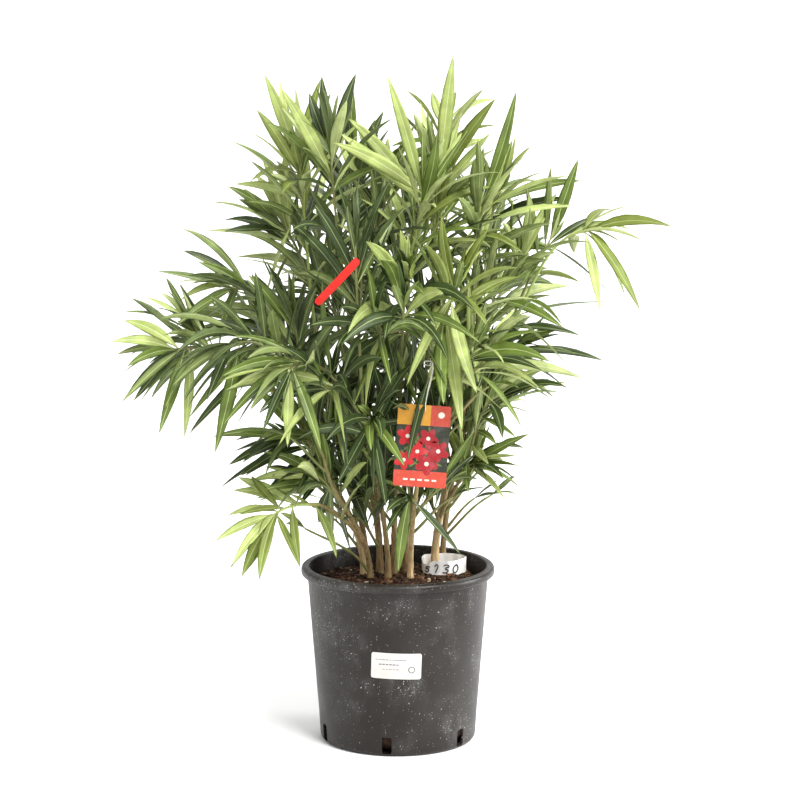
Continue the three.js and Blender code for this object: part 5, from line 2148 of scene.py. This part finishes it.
@dataclass
class Foliage:
    """Every leaf, bent from one blade and joined by part of the crown."""

    masses: list[Mass]
    blade: Blade = field(default_factory=Blade)

    # The green above, the paler green below, and the rib.
    GREENS = {
        Tone.DARK: (linear(52, 68, 28), linear(84, 98, 54), linear(142, 154, 98)),
        Tone.MID: (linear(96, 115, 47), linear(116, 131, 73), linear(170, 179, 120)),
        Tone.LIGHT: (linear(158, 173, 98), linear(166, 178, 116), linear(200, 206, 152)),
        Tone.LIME: (linear(106, 120, 48), linear(120, 133, 66), linear(156, 165, 103)),
    }

    def finishes(self) -> list[Material]:
        """The materials of the leaves.

        Returns:
            One for each tone and skin.
        """
        made = []
        for tone, (above, below, rib) in self.GREENS.items():
            word = tone.name.lower()
            made.append(LeafFinish("leaf_top_" + word, above, 0.42).make())
            made.append(LeafFinish("leaf_under_" + word, below, 0.62).make())
            made.append(LeafFinish("leaf_rib_" + word, rib, 0.5, 0.1, 0.1).make())
        return made

    def build(self) -> None:
        """One piece for each part of the crown, which stands for its shoots."""
        template = self.blade.template()
        code = np.array([corner.co for corner in template.vertices])
        skins = np.array([face.material_index for face in template.polygons])
        finishes = self.finishes()
        for region in Region:
            masses = [mass for mass in self.masses if mass.region is region]
            leaves = [leaf for mass in masses for leaf in mass.leaves]
            places = [self.blade.bent(leaf, code) for leaf in leaves]
            piece = copies("leaves_" + region.value, template, places)
            settle(piece, finishes, "leaf", *(mass.name for mass in masses if mass.name in SHOOTS))
            inks = np.concatenate([skins + len(Skin) * leaf.tone.value for leaf in leaves])
            piece.data.polygons.foreach_set("material_index", inks.astype(np.int32))
            piece.data.update()
            LOG.info("%s holds %d leaves", piece.name, len(leaves))
        bpy.data.meshes.remove(template)


class StickerInk(Enum):
    """The two materials of the sticker, as they look."""

    PAPER = (198, 194, 188)
    GREY = (96, 96, 100)


@dataclass
class PotSticker:
    """The white sticker on the pot's wall, with a few plain grey marks."""

    width: float = 72
    height: float = 38
    thickness: float = 0.5
    centre: float = 136
    turn: float = -1
    tilt: float = -2
    rows: tuple[int, ...] = (9, 6, 5)
    first: Spot = (-28, 9)
    step: Spot = (4.9, 7)
    indent: float = 5
    dash: Spot = (1.3, 1.1)  # its half length, and how much longer it may be
    thin: float = 0.45
    thick: float = 0.8
    badge: Spot = (22, -5)
    ring: Spot = (5, 3.6)
    raised: Spot = (0.06, 0.1)

    def marks(self, made: Made, top: float) -> None:
        """Prints three rows of dashes and a ring.

        Args:
            made: The bmesh of the sticker.
            top: The height of its face.
        """
        for row, count in enumerate(self.rows):
            for k in range(count):
                long = self.dash[0] + self.dash[1] * chance(row, k, 41)
                x = self.first[0] + k * self.step[0] + self.indent * row
                place = (x, self.first[1] - row * self.step[1], top + self.raised[0])
                print_shape(made, place, (long, self.thick if row == 1 else self.thin), 0, StickerInk.GREY, 4)
        for radius, raised, ink in zip(self.ring, self.raised, (StickerInk.GREY, StickerInk.PAPER)):
            print_shape(made, (*self.badge, top + raised), (radius, radius), 0, ink, 32)

    def build(self) -> None:
        """The finished sticker, bent round the wall."""
        made = bmesh.new()
        add_sheet(made, (self.width, self.height), (16, 7), 3, self.thickness - 0.1)
        top = max(corner.co.z for corner in made.verts)
        self.marks(made, top)
        tilt = turned(self.tilt, "Z")
        for corner in made.verts:
            flat = tilt @ corner.co
            height = self.centre + flat.y
            radius = POT.wall_radius(height) + self.thickness
            angle = radians(self.turn) + flat.x / radius
            out = radius + flat.z - top
            corner.co = (out * sin(angle), -out * cos(angle), height)
        paper = PlainFinish("sticker_paper", linear(*StickerInk.PAPER.value), 0.5, 0.1).make()
        grey = PlainFinish("sticker_ink", linear(*StickerInk.GREY.value), 0.4, 0.05).make()
        settle(as_mesh("pot_label", made, 30), [paper, grey], "paper", "pot_sticker")


class CardInk(Enum):
    """The inks of the card, as they look, in the order of its materials."""

    ORANGE = (190, 66, 46)
    CREAM = (226, 220, 206)
    YELLOW = (206, 146, 36)
    GREEN = (92, 112, 52)
    ROSE = (190, 12, 24)
    CRIMSON = (158, 8, 24)
    SHADE = (38, 42, 24)


@dataclass
class HangCard:
    """The printed card that hangs in front: orange red, with its own plain flower pattern on both sides."""

    width: float = 74
    height: float = 116
    thickness: float = 0.8
    hole: float = 2.4
    hole_drop: float = 9
    hole_shift: float = 1.4
    tilt: float = -4
    bend: float = 1.1
    bend_from: float = -50
    bend_over: float = 60
    head_from: float = -21
    foot_to: float = -86
    yellow_to: float = 7
    sprigs: int = 30
    sprig: Spot = (6, 1.3)
    sprig_spread: float = 27
    sprig_middle: float = -52
    flower: float = 13
    flower_variety: float = 3
    petal: Spot = (0.52, 0.36)
    petal_out: float = 0.55
    eye: float = 0.2
    dot: Place = (24, -4, 4.5)
    bars: int = 5
    bar: Spot = (3.2, 1.2)
    bar_from: Spot = (-20, -97)
    bar_step: float = 10
    flowers: tuple[Spot, ...] = ((-21, -36), (8, -38), (-6, -57), (23, -55), (-24, -70), (8, -74))

    def hole_place(self) -> Vector:
        """The middle of its hole, found from the box of its CAD node.

        Returns:
            The place, in millimetres.
        """
        low, high = (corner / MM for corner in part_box("hang_card"))
        turn, left = turned(-self.tilt, "Y"), -self.width / 2 - self.hole_shift
        lowest = turn @ Vector((left, 0, self.hole_drop - self.height))
        highest = turn @ Vector((left, 0, self.hole_drop))
        return Vector((low.x - lowest.x, (low.y + high.y) / 2, high.z - highest.z))

    def sheet(self, made: Made) -> None:
        """The card itself, lying flat with its hole at the origin: yellow, orange and dark green fields.

        Args:
            made: The bmesh that it joins.
        """
        add_sheet(made, (self.width, self.height), (24, 36), 3, self.thickness - 0.1)
        heights = [corner.co.z for corner in made.verts]
        middle = (-self.hole_shift, self.hole_drop - self.height / 2, -(max(heights) + min(heights)) / 2)
        bmesh.ops.translate(made, vec=middle, verts=made.verts)
        for face in made.faces:
            x, y, _ = face.calc_center_median()
            head = CardInk.YELLOW if x < self.yellow_to else CardInk.ORANGE
            body = CardInk.SHADE if y > self.foot_to else CardInk.ORANGE
            face.material_index = ink_number(head if y > self.head_from else body)

    def blossom(self, made: Made, place: Place, size: float, ink: CardInk) -> None:
        """A plain flower of five round petals with a pale eye.

        Args:
            made: The bmesh that it joins.
            place: Its middle.
            size: Its radius.
            ink: The ink of its petals.
        """
        x, y, height = place
        for k in range(5):
            turn = 72 * k + 9 * x
            way = turned(turn, "Z") @ Vector((size * self.petal_out, 0, 0))
            spot = (x + way.x, y + way.y, height + 0.012 * k)
            print_shape(made, spot, (size * self.petal[0], size * self.petal[1]), turn, ink, 16)
        print_shape(made, (x, y, height + 0.08), (size * self.eye, size * self.eye), 0, CardInk.CREAM, 12)

    def pattern(self, made: Made) -> None:
        """The pattern on the upper side, and the same turned over on the other side.

        Args:
            made: The bmesh of the card.
        """
        top = max(corner.co.z for corner in made.verts) + 0.04
        before = set(made.faces)
        middle = -self.hole_shift
        for k in range(self.sprigs):
            x = middle + jitter(self.sprig_spread, k, 52)
            y = self.sprig_middle + jitter(self.sprig_spread, k, 53)
            place = (x, y, top + 0.02 + 0.001 * k)
            print_shape(made, place, self.sprig, 360 * chance(k, 51), CardInk.GREEN, 10)
        for k, (x, y) in enumerate(self.flowers):
            ink = CardInk.CRIMSON if k % 2 else CardInk.ROSE
            size = self.flower + self.flower_variety * chance(k, 54)
            self.blossom(made, (middle + x, y, top + 0.1), size, ink)
        x, y, radius = self.dot
        print_shape(made, (middle + x, y, top + 0.04), (radius, radius), 0, CardInk.CREAM)
        for k in range(self.bars):
            place = (middle + self.bar_from[0] + self.bar_step * k, self.bar_from[1], top + 0.04)
            print_shape(made, place, self.bar, 0, CardInk.CREAM, 4)
        printed = [face for face in made.faces if face not in before]
        copy = bmesh.ops.duplicate(made, geom=printed)["geom"]
        faces = [part for part in copy if isinstance(part, bmesh.types.BMFace)]
        corners = [part for part in copy if isinstance(part, bmesh.types.BMVert)]
        bmesh.ops.scale(made, vec=(1, 1, -1), verts=corners)
        bmesh.ops.reverse_faces(made, faces=faces)

    def build(self) -> None:
        """The finished card, hung by its hole and bent back a little below."""
        made = bmesh.new()
        self.sheet(made)
        self.pattern(made)
        for corner in made.verts:
            if corner.co.y < self.bend_from:
                corner.co.z += self.bend * ((corner.co.y - self.bend_from) / self.bend_over) ** 2
        bmesh.ops.rotate(made, matrix=turned(-self.tilt, "Y") @ turned(90, "X"), verts=made.verts)
        bmesh.ops.translate(made, vec=self.hole_place(), verts=made.verts)
        inks = [PlainFinish("card_" + ink.name.lower(), linear(*ink.value), 0.62, 0.08) for ink in CardInk]
        settle(as_mesh("printed_card", made, 30), [ink.make() for ink in inks], "card", "hang_card")


@dataclass
class CardThread:
    """The thin white thread that holds the card: round the stem, down through the hole, and tied in a bow."""

    card: HangCard
    stem: Limb
    at: float = 0.42
    radius: float = 0.7
    spare: float = 2
    gap: float = 0.3
    bow_reach: float = 13
    bow_drop: float = 6

    def loop(self) -> list[Vector]:
        """The route of the loop, as in the CAD.

        Returns:
            Its points, in order.
        """
        knot, hole = self.stem.path.faceted(self.at), self.card.hole_place()
        around = self.stem.radius_at(self.at) + self.radius + 4 * self.gap
        off = self.radius + self.card.thickness / 2 + self.gap
        above = self.card.hole_drop + self.spare
        inside = self.card.hole - self.radius
        beside = self.radius + self.gap
        behind = [(0, around, 0), (-around, 0, 0), (-beside, -around, -2 * around)]
        down = [(0, -off, above), (0, -off, inside), (0, 0, 0), (0, off, inside), (0, off, above)]
        back = [(beside, -around, -2 * around), (around, 0, 0)]
        points = [(knot, step) for step in behind] + [(hole, step) for step in down]
        return [start + Vector(step) for start, step in points + [(knot, step) for step in back]]

    def bow(self) -> list[list[Vector]]:
        """The two loops and two ends of the bow, in front of the stem.

        Returns:
            The points of each.
        """
        depth = self.stem.radius_at(self.at) + 2.4 * self.radius + 1
        front = self.stem.path.faceted(self.at) + Vector((0, -depth, -self.bow_drop))
        routes = []
        for side in (-1, 1):
            out = side * self.bow_reach
            round_loop = (
                (0, 0, 0), (out * 0.5, -1, 4), (out, 0, 1.5), (out * 0.6, 0.6, -2.5), (0, 0.8, -0.5),
            )
            end = ((0, -0.6, 0), (side * 4, -1.4, -5), (side * 7, -0.6, -13))
            routes += [[front + Vector(step) for step in steps] for steps in (round_loop, end)]
        return routes

    def build(self) -> None:
        """The finished thread."""
        routes = [(self.loop(), True), *((route, False) for route in self.bow())]
        cotton = PlainFinish("thread_cotton", linear(228, 226, 218), 0.2, 0.2).make()
        settle(add_thread("card_thread", routes, self.radius * 0.8), [cotton], "paper", "card_loop")


@dataclass
class RedTie:
    """The red plastic tie that is strapped round a stem, with its ribbed tail hanging down."""

    stem: Limb
    at: float = 0.9
    length: float = 88
    width: float = 11
    thickness: float = 0.9
    strap: float = 5
    reach: Place = (-54, -10, -67)
    gap: float = 0.3
    end_taper: float = 0.85
    rib: float = 0.22
    rib_rate: float = 1.6
    rib_reach: float = 3
    arch: float = 1.6
    finish: PlainFinish = PlainFinish("tie_plastic", linear(222, 30, 18), 0.68, 0)

    def build(self) -> None:
        """The finished tie."""
        along, place = self.stem.path.way(self.at), self.stem.path.faceted(self.at)
        facing = (FRONT - along * FRONT.dot(along)).normalized()
        way = Vector(self.reach).normalized()
        way = (way - facing * way.dot(facing)).normalized()
        inner = self.stem.radius_at(self.at) + 2 * self.gap
        outer, half = inner + self.thickness, self.strap / 2
        made = bmesh.new()
        spin_profile(made, [(inner, -half), (outer, -half), (outer, half), (inner, half), (inner, -half)], 32)
        bmesh.ops.rotate(made, matrix=UP.rotation_difference(along).to_matrix(), verts=made.verts)
        bmesh.ops.translate(made, vec=place, verts=made.verts)
        self.tail(made, Matrix((way, facing.cross(way), facing)).transposed(), place + facing * outer)
        settle(as_mesh("red_plant_tie", made, 35), [self.finish.make()], "tie", "red_tie")

    def tail(self, made: Made, basis: Matrix, place: Vector) -> None:
        """The tail: a long strip with rounded ends, a thick border and cross ribs.

        Args:
            made: The bmesh that it joins.
            basis: Its own length, width and outward directions, as columns.
            place: Where its head lies.
        """
        before = set(made.verts)
        strip = bmesh.ops.create_grid(made, x_segments=30, y_segments=3, size=0.5)["verts"]
        bmesh.ops.scale(made, vec=(self.length, self.width, 1), verts=strip)
        straight = self.length / 2 - self.width / 2
        for corner in strip:
            near_end = max(abs(corner.co.x) - straight, 0) / (self.width / 2)
            corner.co.y *= sqrt(max(1 - (near_end * self.end_taper) ** 2, 0))
        bmesh.ops.solidify(made, geom=linked(strip, "link_faces"), thickness=self.thickness)
        new = [corner for corner in made.verts if corner not in before]
        for corner in new:
            share = corner.co.x / self.length + 0.5
            rib = self.rib * sin(share * self.length * self.rib_rate) * (abs(corner.co.y) < self.rib_reach)
            corner.co.z += rib + self.arch * sin(pi * share)
        bmesh.ops.translate(made, vec=(straight, 0, 0), verts=new)
        bmesh.ops.rotate(made, matrix=basis, verts=new)
        bmesh.ops.translate(made, vec=place, verts=new)
        bmesh.ops.recalc_face_normals(made, faces=linked(new, "link_faces"))


@dataclass
class PaperBand:
    """The white paper band that stands on the compost, torn lower at its left, with pen strokes."""

    centre: Spot = (67, 48)
    half: Spot = (32, 27)
    height: float = 22
    lift: float = 0.3
    thickness: float = 0.6
    segments: int = 96
    layers: int = 6
    torn_at: float = 205
    torn_to: float = 0.62
    tear: float = 0.45
    tear_slope: float = 10
    ragged: float = 1.1
    ripples: tuple[Place, ...] = ((0.9, 5, 1), (0.5, 13, 0))  # size, how many, and where they start
    curl: float = 0.32
    curls: int = 3
    stroke: float = 0.8
    written_from: float = 214
    cell_step: float = 26
    cell_width: float = 15
    slant: float = 0.15
    line: float = 4  # how high the numerals stand above the compost
    tall: Spot = (4, 6)  # half the height of the first numeral, and of the others

    # Plain numerals, as strokes across and up a cell of one by two.
    NUMERALS = (
        ((0.9, 1.9), (0.2, 1.9), (0.1, 1.1), (0.7, 1.2), (0.9, 0.6), (0.5, 0.0), (0.0, 0.2)),
        ((0.1, 1.5), (0.5, 2.0), (0.5, 0.0)),
        ((0.0, 1.8), (0.5, 2.0), (0.9, 1.6), (0.4, 1.1), (0.9, 0.6), (0.5, 0.0), (0.0, 0.2)),
        ((0.5, 2.0), (0.1, 1.4), (0.1, 0.5), (0.5, 0.0), (0.9, 0.5), (0.9, 1.4), (0.5, 2.0)),
    )

    def around(self, angle: float, out: float = 0) -> Vector:
        """A place on the band's outer face.

        Args:
            angle: Its angle from the right.
            out: How far it is moved outwards.

        Returns:
            The place, at the height 0.
        """
        ripple = sum(size * sin(count * angle + start) for size, count, start in self.ripples) + out
        x = self.centre[0] + (self.half[0] + ripple) * cos(angle)
        return Vector((x, self.centre[1] + (self.half[1] + ripple) * sin(angle), 0))

    def top(self, angle: float) -> float:
        """The height of the band: lower and ragged where it is torn.

        Args:
            angle: An angle from the right.

        Returns:
            The height of its edge there.
        """
        apart = abs((angle - radians(self.torn_at) + pi) % (2 * pi) - pi)
        whole = 1 / (1 + exp(-self.tear_slope * (apart - self.tear)))
        ragged = self.ragged * noise.noise((cos(angle) * 4, sin(angle) * 4, 4))
        return self.height * (self.torn_to + (1 - self.torn_to) * whole) + ragged * (1.4 - whole) - 0.6

    def wall(self) -> Made:
        """The band's wall, raised from a ring in a few layers.

        Returns:
            The bmesh of it.
        """
        made = bmesh.new()
        circle = bmesh.ops.create_circle(made, segments=self.segments, radius=1)["verts"]
        angles = [atan2(corner.co.y, corner.co.x) for corner in circle]
        edges = linked(circle)
        for corner, angle in zip(circle, angles):
            corner.co = self.around(angle, -self.thickness / 2) + UP * (POT.soil + self.lift)
        for layer in range(1, self.layers + 1):
            share = layer / self.layers
            lifted = bmesh.ops.extrude_edge_only(made, edges=edges)["geom"]
            edges = [part for part in lifted if isinstance(part, bmesh.types.BMEdge)]
            for corner in (part for part in lifted if isinstance(part, bmesh.types.BMVert)):
                y = (corner.co.y - self.centre[1]) / self.half[1]
                angle = atan2(y, (corner.co.x - self.centre[0]) / self.half[0])
                corner.co.z = POT.soil + self.lift + self.top(angle) * share
                lean = self.curl * share * sin(self.curls * angle)
                corner.co += Vector((cos(angle), sin(angle), 0)) * lean
        return made

    def build(self) -> None:
        """The finished band and its pen strokes."""
        made = self.wall()
        face_outwards(made)
        bmesh.ops.solidify(made, geom=made.faces[:], thickness=self.thickness * 0.8)
        face_outwards(made)
        paper = PlainFinish("band_paper", linear(250, 249, 246), 0.3, 0.3).make()
        settle(as_mesh("written_band", made, 40), [paper], "paper", "paper_band")
        pen = PlainFinish("pen_ink", linear(14, 14, 18), 0.5, 0).make()
        routes = [(route, False) for route in self.strokes()]
        settle(add_thread("pen_strokes", routes, self.stroke), [pen], "paper")

    def strokes(self) -> list[list[Vector]]:
        """The routes of the plain numerals that are written round the front.

        Returns:
            The points of each numeral.
        """
        routes = []
        for cell, numeral in enumerate(self.NUMERALS):
            tall = self.tall[min(cell, 1)]
            route, start = [], self.written_from + self.cell_step * cell
            for across, up in numeral:
                angle = radians(start + self.cell_width * (across + self.slant * up))
                route.append(self.around(angle, 0.35) + UP * (POT.soil + self.line + up * tall))
            routes.append(route)
        return routes


@dataclass(frozen=True)
class Lamp:
    """A broad even light: where it stands, how wide it looks in degrees, and its strength."""

    name: str
    place: Place
    spread: float
    power: float


@dataclass
class Studio:
    """The plain pale floor, the soft lights and the camera at the photograph's place."""

    eye: Place = (0.0031, -3.979, 1.160)
    pitch: float = 80.536
    lens: float = 126.66
    floor_tone: float = 0.86
    floor_size: float = 60000
    air: float = 0.66
    aim: Place = (0, 0, 0.5)
    lamps: tuple[Lamp, ...] = (
        Lamp("key_light", (1.5, -2.0, 3.4), 26, 4.3),
        Lamp("fill_light", (-1.9, -3.0, 1.5), 60, 0.65),
        Lamp("back_light", (0.6, 2.4, 3.4), 50, 1.4),
        Lamp("right_light", (3.0, 0.3, 1.3), 30, 3.0),
    )

    def floor(self) -> None:
        """A wide pale floor."""
        made = bmesh.new()
        bmesh.ops.create_grid(made, x_segments=1, y_segments=1, size=self.floor_size)
        piece = as_mesh("floor", made)
        nodes = Nodes("floor_paper")
        mottle = nodes.noise(3, 2)
        colour = nodes.ramp(mottle, [(0.3, 0.99 * self.floor_tone), (0.7, self.floor_tone)])
        nodes.bump(nodes.noise(400, 2), 0.05, 0.2)
        rough = nodes.ramp(mottle, [(0.3, 0.82), (0.7, 0.9)])
        piece.data.materials.append(nodes.finish(colour, rough, specular=0.2))

    def light(self, lamp: Lamp) -> None:
        """Sets up a light that faces the middle of the plant.

        Args:
            lamp: The light.
        """
        sun = bpy.data.lights.new(lamp.name, "SUN")
        sun.angle, sun.energy = radians(lamp.spread), lamp.power
        stand = new_object(lamp.name, sun)
        stand.location = lamp.place
        stand.rotation_euler = (Vector(self.aim) - Vector(lamp.place)).to_track_quat("-Z", "Y").to_euler()

    def build(self) -> None:
        """The whole studio."""
        self.floor()
        for lamp in self.lamps:
            self.light(lamp)
        world = bpy.data.worlds.new("studio_air")
        world.use_nodes = True
        inputs = world.node_tree.nodes["Background"].inputs
        inputs["Color"].default_value, inputs["Strength"].default_value = (1, 1, 1, 1), self.air
        bpy.context.scene.world = world
        camera = bpy.data.cameras.new("camera")
        camera.lens, camera.sensor_width = self.lens, 36
        stand = new_object("camera", camera)
        stand.location = self.eye
        stand.rotation_euler = (radians(self.pitch), 0, 0)
        bpy.context.scene.camera = stand
        bpy.context.scene.view_settings.view_transform = "Standard"


def write_sizes() -> None:
    """Brings the scene up to date, so that every piece stands in its place."""
    bpy.context.view_layer.update()


def main() -> None:
    """Builds every piece of the plant in order."""
    logging.basicConfig(level=logging.INFO, format="%(name)s: %(message)s")
    grower = Grower()
    grower.grow()
    NurseryPot().build()
    Compost().build()
    Wood(grower.limbs).build()
    Twigs(grower.masses).build()
    Foliage(grower.masses).build()
    PotSticker().build()
    card = HangCard()
    card.build()
    CardThread(card, grower.mass("shoot_front_light").axes[0]).build()
    RedTie(grower.mass("shoot_front_left").axes[0]).build()
    PaperBand().build()
    Studio().build()
    write_sizes()


if __name__ == "__main__":
    main()
